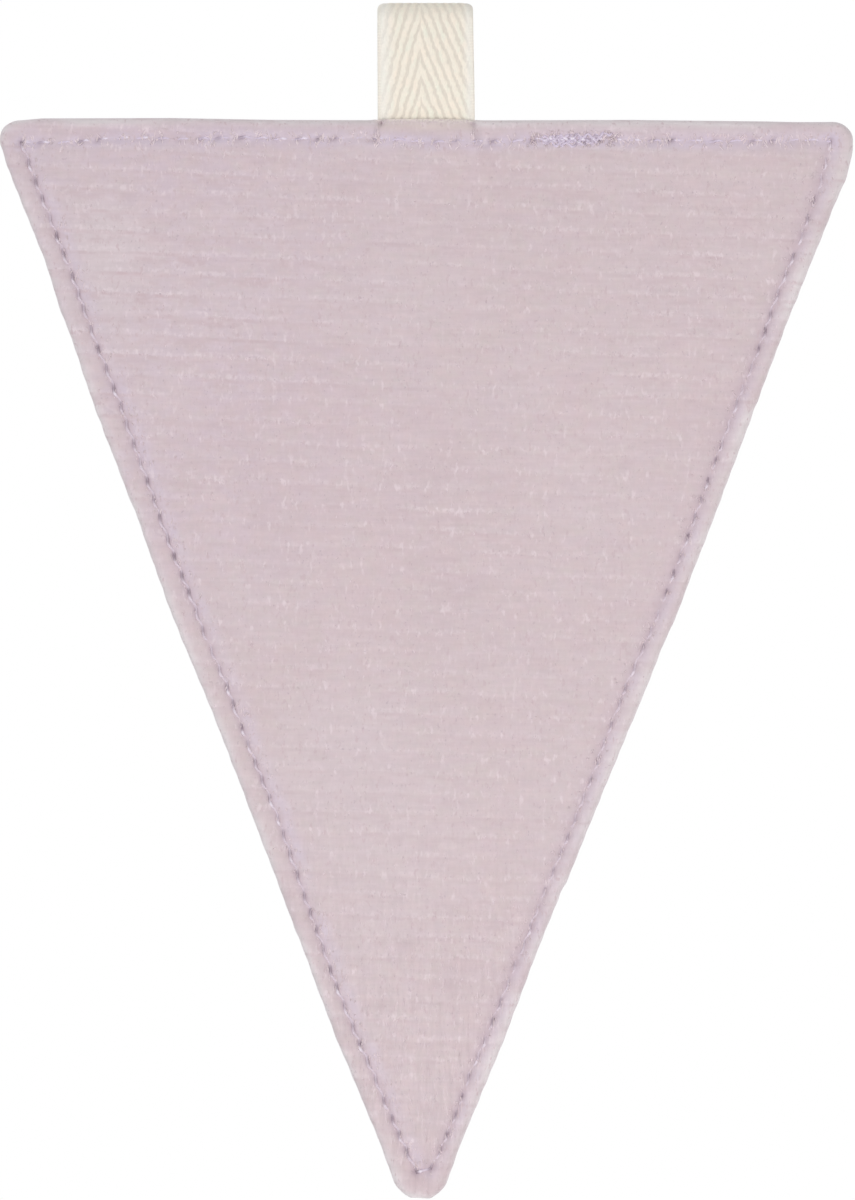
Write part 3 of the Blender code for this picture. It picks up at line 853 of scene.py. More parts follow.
# Painted shade in the needle holes and the tape's dents, and dark dots in the pile
PILE_HOLE_SHADE_AND_DOTS = (0.400, 0.315, 0.370, 1.0)
PILE_NOISES = {
    # name: (width, length) in mm
    "broad": (24.0, 18.0),
    "blotch": (5.0, 3.6),
    "stroke": (0.95, 1.3),
    "broken": (3.1, 1.9),
    "light stroke": (1.05, 2.2),
    "dark stroke": (0.85, 1.6),
    "dot": (0.62, 0.8),
    "fleck": (1.9, 1.5),
    "tinge": (3.2, 2.2),
}


def new_material(name, **values):
    """A material whose shader has these values on its own sockets."""
    material = bpy.data.materials.new(name)
    material.use_nodes = True
    shader = material.node_tree.nodes["Principled BSDF"]
    for socket, value in values.items():
        shader.inputs[socket.replace("_", " ")].default_value = value
    return material, material.node_tree, shader


def velvet_material():
    """Pink lilac pile that lies this way and that, in painted light and shade, with painted highlights
    on the tips along its ribs and painted shade below and between them.
    """
    material, tree, shader = new_material(
        "ribbed_cotton_velvet", Roughness=0.92, Specular_IOR_Level=0.15, Sheen_Weight=0.6,
        Sheen_Roughness=0.35, Sheen_Tint=(0.95, 0.90, 0.97, 1.0))
    noise = {name: grained(tree, PILE, *size, 0.0)[1] for name, size in PILE_NOISES.items()}
    nap_light_and_shade, cast, turn, strength = [attribute(tree, name)
                                 for name in ("nap_light_and_shade", "cast", "rib_turn", "rib_strength")]

    greyed = spread(tree, cast, 0.0, -1.0, 0.0, 0.9)
    cast = spread(tree, cast, 0.0, 1.0, 0.0, 1.0)
    blush = sums(tree, "ADD", 0.40, times(tree, cast, 0.35))
    blush = times(tree, blush, spread(tree, noise["fleck"], 0.38, 0.64, 0.0, 1.0))
    tinged = sums(tree, "ADD", 0.35, times(tree, cast, 0.35))
    tinged = times(tree, tinged, spread(tree, noise["tinge"], 0.35, 0.65, 0.0, 1.0))
    violet = sums(tree, "ADD", times(tree, cast, 0.25), tinged)

    # Painted highlight on each rib's ridge and on its weaker second ridge, painted shade in a thin
    # broken line below it and in a wide band between the ribs, and broken strokes of painted highlight
    # along them
    painted_highlight = times(tree, rib_line(tree, turn, 0.0, 0.20),
                   spread(tree, noise["stroke"], 0.48, 0.62, 0.05, 1.0))
    second = times(tree, rib_line(tree, turn, 0.6, 0.17),
                   spread(tree, noise["stroke"], 0.50, 0.64, 0.0, 0.5))
    painted_highlight = times(tree, sums(tree, "ADD", painted_highlight, second), strength)
    low = times(tree, rib_line(tree, turn, 0.20, 0.13), strength)
    low = times(tree, low, spread(tree, noise["broken"], 0.40, 0.60, 0.0, 0.46))
    between = times(tree, rib_line(tree, turn, 0.45, 0.34), strength)
    between = times(tree, between, spread(tree, noise["broken"], 0.60, 0.42, 0.0, 0.32))
    light = spread(tree, rib_line(tree, turn, 0.05, 0.45), 0.0, 1.0, 0.35, 1.0)
    light = times(tree, light, spread(tree, noise["light stroke"], 0.60, 0.70, 0.0, 0.48))

    colour = PILE_PINK
    for share, tint in (
        (spread(tree, noise["broad"], 0.35, 0.65, 0.0, 0.8), PILE_LILAC),
        (spread(tree, noise["blotch"], 0.35, 0.65, 0.0, 0.9), PILE_GREY),
        (greyed, PILE_GREY),
        (blush, PILE_BLUSH),
        (violet, PILE_VIOLET),
        # painted light and shade of the nap and of the cloth's soft hollows
        (spread(tree, nap_light_and_shade, 0.0, -1.4, 0.0, 1.0), PILE_LAID_AND_SHADED),
        (spread(tree, nap_light_and_shade, 0.0, 1.4, 0.0, 1.0), PILE_BRUSHED_AND_LIT),
        (attribute(tree, "beige_over_tape", 0.85), PILE_BEIGE_OVER_TAPE),
        # painted highlight of the pile's sheen round the rim
        (attribute(tree, "rim"), PILE_PAINTED_RIM_LIGHT),
        # painted highlight on the very edge over the tape
        (attribute(tree, "edge_over_tape"), PILE_EDGE_PAINTED_HIGHLIGHT),
        # the thread's fluff with painted sheen
        (attribute(tree, "haze_and_sheen", 0.5), PILE_HAZE_AND_SHEEN),
        # painted shade in the stitches' furrow
        (attribute(tree, "groove_shade", 0.5), PILE_GROOVE_SHADE),
        # painted highlight on the ribs, painted shade below and between them, and strokes of painted
        # highlight
        (times(tree, painted_highlight, 0.27), PILE_PAINTED_HIGHLIGHT),
        (low, PILE_LAID_AND_SHADED),
        (between, PILE_LAID_AND_SHADED),
        (light, PILE_PAINTED_HIGHLIGHT),
        (spread(tree, noise["dark stroke"], 0.62, 0.70, 0.0, 0.72), PILE_LAID_AND_SHADED),
        (spread(tree, noise["dot"], 0.66, 0.75, 0.0, 0.40), PILE_HOLE_SHADE_AND_DOTS),
        # each loose tuft's painted highlight
        (attribute(tree, "painted_highlight"), PILE_PAINTED_HIGHLIGHT),
    ):
        colour = blend_colour(tree, share, colour, tint)

    place = add_node(tree, "ShaderNodeTexCoord").outputs["Object"]
    height = add_node(tree, "ShaderNodeSeparateXYZ", None, Vector=place).outputs["Z"]
    tipward = spread(tree, height, -0.145, -0.225, 0.0, 0.050)
    colour = grained(tree, colour, 0.85, 6.0, tipward)[0]
    colour, pile = grained(tree, colour, 0.5, 1.8, 0.014)
    colour, speck = grained(tree, colour, 1.5, 1.4, 0.014)
    colour = grained(tree, colour, 4.6, 1.4, 0.022)[0]
    colour = grained(tree, colour, 9.0, 0.6, 0.018)[0]
    # painted shade in the needle holes and the tape's dents
    colour = blend_colour(tree, attribute(tree, "pull", 0.85), colour, PILE_HOLE_SHADE_AND_DOTS)
    tree.links.new(colour, shader.inputs["Base Color"])
    relief = sums(tree, "ADD", times(tree, pile, 0.6), times(tree, speck, 0.4))
    bump = add_node(tree, "ShaderNodeBump", None, Strength=0.3, Distance=0.12 * MM, Height=relief)
    tree.links.new(bump.outputs[0], shader.inputs["Normal"])
    return material


velvet = velvet_material()
for name, facing, node in (("velvet_front", -1, "front_panel"), ("velvet_back", 1, "back_panel")):
    panel = velvet_panel(name, facing)
    panel.data.materials.append(velvet)
    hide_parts(node)
    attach(panel, "root")


# ------------------------------------------------------------------------------- topstitching
# One row of lilac sewing thread runs round the edge. Each stitch lies on the pile and dives through
# both panels at its ends; the row starts and ends in a doubled, denser run right of the tape.
THREAD_RADIUS = 0.30 * MM
THREAD_STEPS = 16
THREAD_SIDES = 8
THREAD_DIVE = 0.26 * MM
THREAD_BURIED = 0.24 * MM
TWIST_PITCH = 1.5 * MM
BACK_TACK = (
    (38.4, -26.2), (35.5, -27.3), (31.0, -27.4), (26.0, -26.8), (21.4, -27.3), (24.0, -28.3),
    (29.0, -28.9), (34.0, -28.3), (37.2, -27.0), (31.5, -26.7), (26.0, -27.6), (22.6, -27.9),
    (27.0, -28.5), (32.0, -27.9), (35.0, -26.7), (29.0, -27.3), (24.5, -27.2), (22.0, -27.6),
    (27.5, -28.1), (33.5, -27.5), (36.0, -28.0),
)
BACK_TACK_PITCH = 1.9 * MM
TACK_PULL = (0.0, 0.95)
TACK_LINE = stitch_line(BACK_TACK, 27)
STITCH_RAISE = 0.06 * MM
STITCH_STRAY = 0.09 * MM
STITCH_ZIGZAG = 0.26 * MM

# Where a stitch glints, raised and with a painted highlight, and where the pile hides it, from 0 at
# its first hole to 1 at its next
GLINT_AT = 0.30
GLINT_WIDTH = 0.10
GLINT_RAISE = 0.09 * MM
HIDDEN_FROM = (0.40, 0.52)
HIDDEN_TO = (0.90, 0.78)

# How each row looks: how far it sinks into the pile, which way its stitches lean, how lilac it is,
# and how bright the painted glint of each stitch may be
ROW_LOOKS = (
    (0.25 * MM, 0.6, 0.95, (0.0, 0.2, 0.4, 0.7)),
    (0.11 * MM, -1.0, 0.35, (0.0, 0.0, 0.3, 0.7)),
    (0.21 * MM, 1.0, 0.30, (0.0, 0.0, 0.0, 0.4)),
    (0.04 * MM, 0.0, 0.6, (0.0, 0.8)),
)
TACK_LOOK = (0.06 * MM, 1.6, 1.0, (0.0, 0.0, 0.0, 0.6, 1.0))

# Painted highlight where a stitch glints
THREAD_PAINTED_GLINT = (0.86, 0.80, 0.88, 1.0)
THREAD_LILAC = (0.650, 0.565, 0.690, 1.0)
THREAD_PILED = (0.648, 0.550, 0.590, 1.0)
# Painted shade where the thread dives into its holes
THREAD_HOLE_SHADE = (0.310, 0.240, 0.285, 1.0)


def stitch_row(bm, line, pitch, facing, seed, look, pull, layers):
    """One thread along a row, up on the pile between its holes and down into them."""
    sink, lean, lilac, glints = look
    places, run = stitch_places(line, pitch, seed)
    count = len(places)
    turns = np.arange(count, dtype=float)
    turn = np.linspace(0.0, turns[-1], (count - 1) * THREAD_STEPS + 1)
    stitch, phase = turn.astype(int), turn % 1.0
    reach = np.interp(turn, turns, places)
    random = np.random.default_rng(seed + 50)
    side_push = np.interp(turn, turns, random.normal(0.0, STITCH_STRAY, count))
    side_push += lean * STITCH_ZIGZAG * np.sin(2.0 * math.pi * turn)
    down = (0.5 + 0.5 * np.cos(2.0 * math.pi * turn)) * np.interp(turn, turns, pull(count))
    glint = np.exp(-((phase - GLINT_AT) / GLINT_WIDTH) ** 2) * random.choice(glints, count)[stitch]
    flat = np.stack([np.interp(reach, run, line[:, axis]) for axis in (0, 1)], axis=1)
    along = heading(flat)
    x = flat[:, 0] - along[:, 1] * side_push
    z = flat[:, 1] + along[:, 0] * side_push
    lift = np.interp(turn, turns, random.uniform(-STITCH_STRAY, STITCH_STRAY, count))
    buried = smoothstep(*HIDDEN_FROM, phase) * smoothstep(*HIDDEN_TO, phase)
    buried *= random.uniform(0.35, 1.0, count)[stitch]
    height = face_height(x, z, rim_depth(x, z)[0], PANEL_SEEDS[facing]) + STITCH_RAISE - sink
    height += lift + GLINT_RAISE * glint - THREAD_DIVE * down ** 2 - THREAD_BURIED * buried
    centre = np.stack((x, stand_off(x, z) + facing * height, z), axis=1)
    ahead = heading(centre)
    aside = np.cross(ahead, (0.0, facing, 0.0))
    aside /= np.linalg.norm(aside, axis=1)[:, None]
    out = np.cross(aside, ahead)
    steps = len(turn) - 1
    grid = bmesh.ops.create_grid(bm, x_segments=THREAD_SIDES, y_segments=steps, size=1.0)["verts"]
    for vert in grid:
        side, step = grid_place(vert, THREAD_SIDES, steps)
        angle = 2.0 * math.pi * side / THREAD_SIDES
        plies = abs(math.cos(angle - 2.0 * math.pi * reach[step] / TWIST_PITCH))
        spoke = aside[step] * math.cos(angle) + out[step] * math.sin(angle)
        vert.co = centre[step] + spoke * THREAD_RADIUS * (0.80 + 0.32 * plies)
        for layer, value in zip(layers, (down[step], glint[step], lilac)):
            vert[layer] = value
    bmesh.ops.remove_doubles(bm, verts=grid, dist=0.0005 * MM)


def topstitching(name, facing):
    """All the stitches that show on one side."""
    bm = bmesh.new()
    layers = [bm.verts.layers.float.new(key) for key in ("dive", "glint", "lilac")]
    for row, line in enumerate(STITCHING):
        stitch_row(bm, line, STITCH_PITCH, facing, 31 + row, ROW_LOOKS[row],
                   lambda count, row=row: hole_strength(row, count), layers)
    stitch_row(bm, TACK_LINE, BACK_TACK_PITCH, facing, 37, TACK_LOOK,
               lambda count: np.random.default_rng(38).uniform(*TACK_PULL, count), layers)
    bmesh.ops.holes_fill(bm, edges=[edge for edge in bm.edges if edge.is_boundary], sides=0)
    bmesh.ops.recalc_face_normals(bm, faces=bm.faces)
    stitches = finished_piece(name, bm)
    stitches.data.shade_smooth()
    return stitches


def thread_material():
    """Lilac thread, with painted shade where it dives, a painted highlight where it glints, pink where
    the pile covers it.
    """
    material, tree, shader = new_material(
        "lilac_sewing_thread", Roughness=0.45, Specular_IOR_Level=0.4, Sheen_Weight=0.1)
    uneven = grained(tree, THREAD_PILED, 1.6, 1.6, 0.0)[1]
    dark = sums(tree, "ADD", attribute(tree, "dive"), spread(tree, uneven, 0.3, 0.7, -0.12, 0.12))
    colour = blend_colour(tree, attribute(tree, "lilac"), THREAD_PILED, THREAD_LILAC)
    # painted shade where the thread dives into its holes
    colour = blend_colour(tree, spread(tree, dark, 0.25, 0.85, 0.0, 1.0), colour, THREAD_HOLE_SHADE)
    # painted highlight where the stitch glints
    colour = blend_colour(tree, attribute(tree, "glint"), colour, THREAD_PAINTED_GLINT)
    colour = grained(tree, colour, 0.15, 0.15, 0.10)[0]
    tree.links.new(colour, shader.inputs["Base Color"])
    return material


thread = thread_material()
for name, facing in (("topstitch_front", -1), ("topstitch_back", 1)):
    stitches = topstitching(name, facing)
    stitches.data.materials.append(thread)
    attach(stitches, "root")


# --------------------------------------------------------------------------------- loose pile
# Single tufts of the velvet's own cotton pile, lighter by a painted highlight: in broken rows along
# the ribs, longer towards the tip, brushed over the stitches, and along the edge in front of the tape.
TUFT_TRIES = 8000
LOOSE_TRIES = 1700
TIP_TUFTS_FROM = -190.0 * MM
EDGE_TUFTS = 70
TAPE_SIDE_TUFTS = 9
TACK_TUFTS = 130
TUFT_SUNK = -0.04 * MM
INWARD = ((0.0, -1.0), (1.0, 0.0), (-1.0, 0.0))
SEAM_TUFTS = (
    # (row, spacing, from so far outside it to so far inside, length, width, all in mm, light, lean)
    (0, 0.40, (-2.0, 0.8), (0.7, 2.0), (0.16, 0.34), (0.35, 1.0), 0.55),
    (1, 0.9, (0.2, 3.0), (0.6, 1.6), (0.13, 0.26), (0.1, 0.7), 0.3),
    (2, 1.1, (0.2, 2.2), (0.6, 1.5), (0.13, 0.26), (0.1, 0.6), 0.3),
    (1, 2.0, (-0.9, 0.2), (0.5, 1.1), (0.13, 0.26), (0.0, 0.5), 0.3),
    (2, 2.0, (-0.9, 0.2), (0.5, 1.1), (0.13, 0.26), (0.0, 0.5), 0.3),
)


def inside_panel(x, z, margin):
    """Whether each point lies on the cloth, at least that far in from its edge."""
    left = np.interp(-z, -LEFT_EDGE[:, 1], LEFT_EDGE[:, 0])
    right = np.interp(-z, -RIGHT_EDGE[:, 1], RIGHT_EDGE[:, 0])
    return (x > left + margin) & (x < right - margin) & (z < TOP_HEIGHT + TOP_SLOPE * x - margin)


def tuft_rows(x, z, length, lean, width, light, lift):
    """One row of values for each tuft, its length and width given in mm."""
    return np.stack(np.broadcast_arrays(x, z, length * MM, lean, width * MM, light, lift * MM), axis=1)


def rib_tufts(random, seed):
    """Short tufts hanging from the ribs' ridges, where these stand out."""
    x = random.uniform(-87.0, 88.0, TUFT_TRIES) * MM
    rib = random.integers(0, 52, TUFT_TRIES) + np.where(random.random(TUFT_TRIES) < 0.25, 0.6, 0.0)
    z = RIB_FIRST + x * RIB_TILT - rib * RIB_PITCH
    z += (rib_turn(x, z, seed) - rib) * RIB_PITCH
    z += random.normal(0.05 * MM, 0.13 * MM, TUFT_TRIES)
    chance = rib_strength(x, z, seed) * (0.35 + 0.5 * patches(x, z, 3.0 * MM, 2.0 * MM, seed + 7))
    kept = inside_panel(x, z, 1.5 * MM) & (random.random(TUFT_TRIES) < chance)
    x, z = x[kept], z[kept]
    count = len(x)
    return tuft_rows(x, z, random.uniform(0.6, 1.4, count), random.normal(0.0, 0.25, count),
                     random.uniform(0.14, 0.28, count), random.uniform(0.1, 0.75, count) ** 1.3,
                     random.uniform(0.02, 0.06, count))


def scattered_tufts(random):
    """Tufts anywhere on the cloth, more and longer ones towards the tip."""
    x = random.uniform(-87.0, 88.0, LOOSE_TRIES) * MM
    z = random.uniform(-245.0, -25.0, LOOSE_TRIES) * MM
    tip_x = random.uniform(-25.0, 22.0, LOOSE_TRIES // 3) * MM
    tip_z = random.uniform(-244.0, -185.0, LOOSE_TRIES // 3) * MM
    x, z = np.concatenate((x, tip_x)), np.concatenate((z, tip_z))
    near_tip = smoothstep(TIP_TUFTS_FROM + 10.0 * MM, TIP_TUFTS_FROM - 25.0 * MM, z)
    kept = inside_panel(x, z, 1.2 * MM)
    x, z, near_tip = x[kept], z[kept], near_tip[kept]
    count = len(x)
    length = random.uniform(0.6, 1.6, count) * (1.0 + 1.5 * near_tip)
    return tuft_rows(x, z, length, random.normal(0.0, 0.15, count),
                     random.uniform(0.11, 0.22, count), random.uniform(0.05, 0.6, count),
                     random.uniform(0.02, 0.05, count))


def seam_tufts(random, row, spacing, reach, length, width, light, lean):
    """Tufts beside and across one row of stitching."""
    line = STITCHING[row]
    run = run_along(line)
    count = round(run[-1] / (spacing * MM))
    along = random.uniform(0.0, run[-1], count)
    step = random.uniform(*reach, count) * MM
    x, z = [np.interp(along, run, line[:, axis]) + INWARD[row][axis] * step for axis in (0, 1)]
    return tuft_rows(x, z, random.uniform(*length, count), random.normal(0.0, lean, count),
                     random.uniform(*width, count), random.uniform(*light, count),
                     random.uniform(0.04, 0.16, count))


def tape_edge_tufts(random):
    """The pile along the cloth's edge in front of the tape, and over the tape's own two edges."""
    count = EDGE_TUFTS
    x = np.linspace(-9.6, 9.7, count) * MM + random.normal(0.0, 0.06, count) * MM
    top = TOP_HEIGHT + TOP_SLOPE * x
    lean = np.where(np.arange(count) % 2 == 0, 0.5, -0.5) + random.normal(0.0, 0.15, count)
    z = top + top_lift(x, top) + random.uniform(-0.5, 0.2, count) * MM
    edge = tuft_rows(x, z, random.uniform(0.7, 1.3, count), lean, 0.10,
                     random.uniform(0.3, 0.9, count), 0.06)
    count = 2 * TAPE_SIDE_TUFTS
    x = np.repeat((-9.75 * MM, 10.0 * MM), TAPE_SIDE_TUFTS) + random.normal(0.0, 0.10, count) * MM
    z = random.uniform(-26.4, -24.6, count) * MM
    ridge = tuft_rows(x, z, random.uniform(0.8, 1.6, count), random.normal(0.0, 0.08, count), 0.13,
                      random.uniform(0.3, 0.8, count), 0.10)
    return np.vstack((edge, ridge))


def tack_tufts(random):
    """The pile brushed over the doubled run of stitches."""
    count = TACK_TUFTS
    x = random.uniform(20.5, 39.0, count) * MM
    z = random.uniform(-28.8, -25.4, count) * MM
    return tuft_rows(x, z, random.uniform(0.5, 1.4, count), random.normal(0.0, 0.5, count), 0.16,
                     random.uniform(0.0, 0.7, count), 0.2)


def pile_tufts(name, facing):
    """All the loose tufts of one side: slim spindles of three sides, their ends in the cloth."""
    seed = PANEL_SEEDS[facing]
    random = np.random.default_rng(seed + 9)
    tack = tack_tufts(random)
    tufts = np.vstack((
        rib_tufts(random, seed), scattered_tufts(random), tape_edge_tufts(random), tack,
        *[seam_tufts(random, *kind) for kind in SEAM_TUFTS],
    ))
    ends_x = tufts[:, 0] + np.sin(tufts[:, 3]) * tufts[:, 2]
    ends_z = tufts[:, 1] - np.cos(tufts[:, 3]) * tufts[:, 2]
    x, z, length, lean, width, light, lift = tufts[inside_panel(ends_x, ends_z, 0.4 * MM)].T
    rings = []
    for share, raised in ((0.0, TUFT_SUNK), (0.5, lift), (1.0, TUFT_SUNK)):
        at_x = x + np.sin(lean) * length * share
        at_z = z - np.cos(lean) * length * share
        high = face_height(at_x, at_z, rim_depth(at_x, at_z)[0], seed) + raised
        rings.append(np.stack((at_x, stand_off(at_x, at_z) + facing * high, at_z), axis=1))
    bm = bmesh.new()
    # each tuft's share of painted highlight
    tuft_highlight_layer = bm.verts.layers.float.new("painted_highlight")
    bmesh.ops.create_grid(bm, x_segments=3, y_segments=3 * len(x) - 1, size=1.0)
    for index, vert in enumerate(bm.verts):
        row, side = divmod(index, 4)
        tuft, ring = divmod(row, 3)
        vert.co = rings[ring][tuft]
        vert[tuft_highlight_layer] = light[tuft]
        if ring == 1:
            angle = 2.0 * math.pi * side / 3.0
            vert.co.x += width[tuft] * math.sin(angle)
            vert.co.y += facing * width[tuft] * 0.45 * math.cos(angle)
    between = [face for index, face in enumerate(bm.faces) if index // 3 % 3 == 2]
    bmesh.ops.delete(bm, geom=between, context="FACES_ONLY")
    bmesh.ops.delete(bm, geom=[edge for edge in bm.edges if not edge.link_faces], context="EDGES")
    bmesh.ops.remove_doubles(bm, verts=bm.verts, dist=0.0002 * MM)
    bmesh.ops.recalc_face_normals(bm, faces=bm.faces)
    return finished_piece(name, bm)


for name, facing in (("pile_tufts_front", -1), ("pile_tufts_back", 1)):
    loose_pile = pile_tufts(name, facing)
    loose_pile.data.materials.append(velvet)
    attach(loose_pile, "root")


# ------------------------------------------------------------------------ the hanging loop's tape
# A 20 mm tape of natural cotton, woven in herringbone: raised warp floats step down from a middle
# end to both sides, inside a smooth selvedge. It is folded over and its ends are sewn in the seam.
TAPE_HALF_THICK = 0.38 * MM
WEAVE_RELIEF = 0.11 * MM
WEAVE_SUNK = 0.04 * MM
TAPE_HALF_TOP = 9.85 * MM
TAPE_HALF_LEFT_LOW = 9.80 * MM
TAPE_HALF_RIGHT_LOW = 10.20 * MM
FOLD_RADIUS = 3.9 * MM
FOLD_TOP = 0.2 * MM
FOLD_STEPS = 80
LEG_STEPS = 200
LEG_FULLNESS = 2.2
LEGS_MEET = -22.8 * MM
LEG_Y = 0.65 * MM
TAPE_ROW_STEP = 0.3 * MM
WARP_WIDTH = 0.43 * MM
WARP_MIDDLE = -0.87 * MM
FLOAT_PERIOD_LEFT = 6.2 * MM
FLOAT_PERIOD_RIGHT = 4.7 * MM
FLOAT_SHARE = 0.70
FLOAT_UNEVEN = ((0.12, 3.1, 2.6, 91), (0.12, 0.7, 0.8, 92))
WEFT_PITCH = 0.62 * MM
WARP_ENDS = (-23, 27)
EDGE_COLUMNS = (0.18, 0.06, 0.0)
SELVEDGE = 1.1 * MM
PALE_LEFT = 4.2 * MM
PALE_RIGHT = 2.6 * MM
WARP_SAMPLES = 4
FOLD_DIP_FROM = -3.4 * MM
FOLD_EDGE_DIP = 0.9 * MM
FOLD_EDGE_POWER = 16


def tape_path():
    """The middle of the tape seen from the side as (y, z), in even steps where it shows."""
    fold_middle = FOLD_TOP - FOLD_RADIUS
    share = np.linspace(0.0, 1.0, LEG_STEPS)
    leg_out = LEG_Y + (FOLD_RADIUS - LEG_Y) * (1.0 - (1.0 - share) ** LEG_FULLNESS)
    leg_z = LEGS_MEET + (fold_middle - LEGS_MEET) * share
    angle = np.linspace(math.pi, math.pi / 2.0, FOLD_STEPS)[1:]
    front_y = np.concatenate(((-LEG_Y,), -leg_out, FOLD_RADIUS * np.cos(angle)))
    front_z = np.concatenate(((TAPE_END,), leg_z, fold_middle + FOLD_RADIUS * np.sin(angle)))
    path = np.stack((np.concatenate((front_y, -front_y[-2::-1])),
                     np.concatenate((front_z, front_z[-2::-1]))), axis=1)
    run = run_along(path)
    hidden = LEGS_MEET - TAPE_END - 1.5 * MM
    count = round((run[-1] - 2.0 * hidden) / TAPE_ROW_STEP)
    steps = np.concatenate(((0.0,), np.linspace(hidden, run[-1] - hidden, count), (run[-1],)))
    return np.stack([np.interp(steps, run, path[:, axis]) for axis in (0, 1)], axis=1), steps


def herringbone(across, along):
    """How high the weave stands, 0 to 1: long floats that step down from the middle end."""
    end = (across - WARP_MIDDLE) / WARP_WIDTH
    number = np.floor(end + 0.5)
    within = np.abs(end - number) * 2.0
    stepped = np.abs(0.3 * number + 0.7 * end)
    period = np.where(end < 0.0, FLOAT_PERIOD_LEFT, FLOAT_PERIOD_RIGHT)
    uneven = patch_sum(across, -along, FLOAT_UNEVEN)
    turn = (along / period + stepped * 0.25 + uneven) % 1.0
    up = np.clip(np.sin(math.pi * np.clip(turn / FLOAT_SHARE, 0.0, 1.0)), 0.0, 1.0) ** 0.5
    return up * (0.75 + 0.25 * np.sqrt(np.maximum(1.0 - (within * 0.85) ** 2, 0.0)))


def tape_columns():
    """Each column round the tape's section: its place across, and 1 on the outside or -1 inside."""
    columns = np.arange(*WARP_ENDS)[:, None] - 0.5 + np.arange(WARP_SAMPLES) / WARP_SAMPLES
    columns = columns.ravel() * WARP_WIDTH + WARP_MIDDLE
    columns = columns[np.abs(columns) < TAPE_HALF_TOP - 0.25 * MM]
    edge = TAPE_HALF_TOP - np.array(EDGE_COLUMNS) * MM
    columns = np.concatenate((-edge[::-1], columns, edge))
    face = np.concatenate((np.ones(len(columns)), -np.ones(len(columns)), (1.0,)))
    return np.concatenate((columns, columns[::-1], columns[:1])), face


def hanging_tape():
    """The folded tape, its weave raised on both of its faces."""
    path, steps = tape_path()
    around, face = tape_columns()
    bm = bmesh.new()
    bmesh.ops.create_grid(bm, x_segments=len(around) - 1, y_segments=len(steps) - 1, size=1.0)
    float_layer = bm.verts.layers.float.new("weave")
    edge_layer = bm.verts.layers.float.new("selvedge")
    places = [grid_place(vert, len(around) - 1, len(steps) - 1) for vert in bm.verts]
    column, row = np.array(places).T
    across, along, side = around[column], steps[row], face[column]
    y, z = path[row].T
    ahead_y, ahead_z = heading(path, steps)[row].T
    from_edge = TAPE_HALF_TOP - np.abs(across)

    plain = 1.0 - smoothstep(SELVEDGE - 0.7 * MM, SELVEDGE + 0.5 * MM, from_edge)
    pale_to = np.where(across < 0, PALE_LEFT, PALE_RIGHT)
    pale = 1.0 - smoothstep(0.0, 1.0, (from_edge - 0.5 * MM) / (pale_to - 0.5 * MM))
    pale *= 0.5 + 0.5 * smoothstep(0.2 * MM, 1.3 * MM, from_edge)
    climb = np.minimum(along, steps[-1] - along)
    outside = herringbone(across, climb + 0.02 * along)
    weave = np.where(side > 0, outside, herringbone(across, climb + FLOAT_PERIOD_LEFT / 2.0))
    weft = 0.45 + 0.25 * np.sin(2.0 * math.pi * along / WEFT_PITCH)
    weave = weave * (1.0 - plain) + weft * plain
    weave += (0.5 - weave) * 0.55 * band(z, -1.0, 1.6)

    shown = smoothstep(0.0, 2.0 * MM, climb)
    edge_round = 0.25 + 0.75 * np.sqrt(np.clip(from_edge / (0.25 * MM), 0.0, 1.0))
    thick = (TAPE_HALF_THICK + (WEAVE_RELIEF * weave - WEAVE_SUNK) * shown) * edge_round
    half_low = np.where(across < 0, TAPE_HALF_LEFT_LOW, TAPE_HALF_RIGHT_LOW)
    x = across * (1.0 + (half_low / TAPE_HALF_TOP - 1.0) * smoothstep(0.0, -LEGS_MEET, -z))
    dip = FOLD_EDGE_DIP * np.abs(across / TAPE_HALF_TOP) ** FOLD_EDGE_POWER
    dip *= smoothstep(FOLD_DIP_FROM, 0.0, z)
    y = y - ahead_z * side * thick
    z = z + ahead_y * side * thick - dip
    for vert, place, high, smooth in zip(bm.verts, zip(x, y, z), weave, pale):
        vert.co = place
        vert[float_layer] = high
        vert[edge_layer] = smooth
    bmesh.ops.remove_doubles(bm, verts=bm.verts, dist=0.0005 * MM)
    bmesh.ops.holes_fill(bm, edges=[edge for edge in bm.edges if edge.is_boundary], sides=0)
    bmesh.ops.recalc_face_normals(bm, faces=bm.faces)
    tape = finished_piece("herringbone_tape", bm)
    tape.data.shade_smooth()
    return tape


COTTON = (0.875, 0.824, 0.716, 1.0)
COTTON_WARM = (0.905, 0.824, 0.711, 1.0)
COTTON_GREEN = (0.839, 0.834, 0.721, 1.0)
# Painted shade between the raised floats
COTTON_FLOAT_GAP_SHADE = (0.716, 0.660, 0.578, 1.0)
COTTON_SELVEDGE = (0.878, 0.872, 0.828, 1.0)


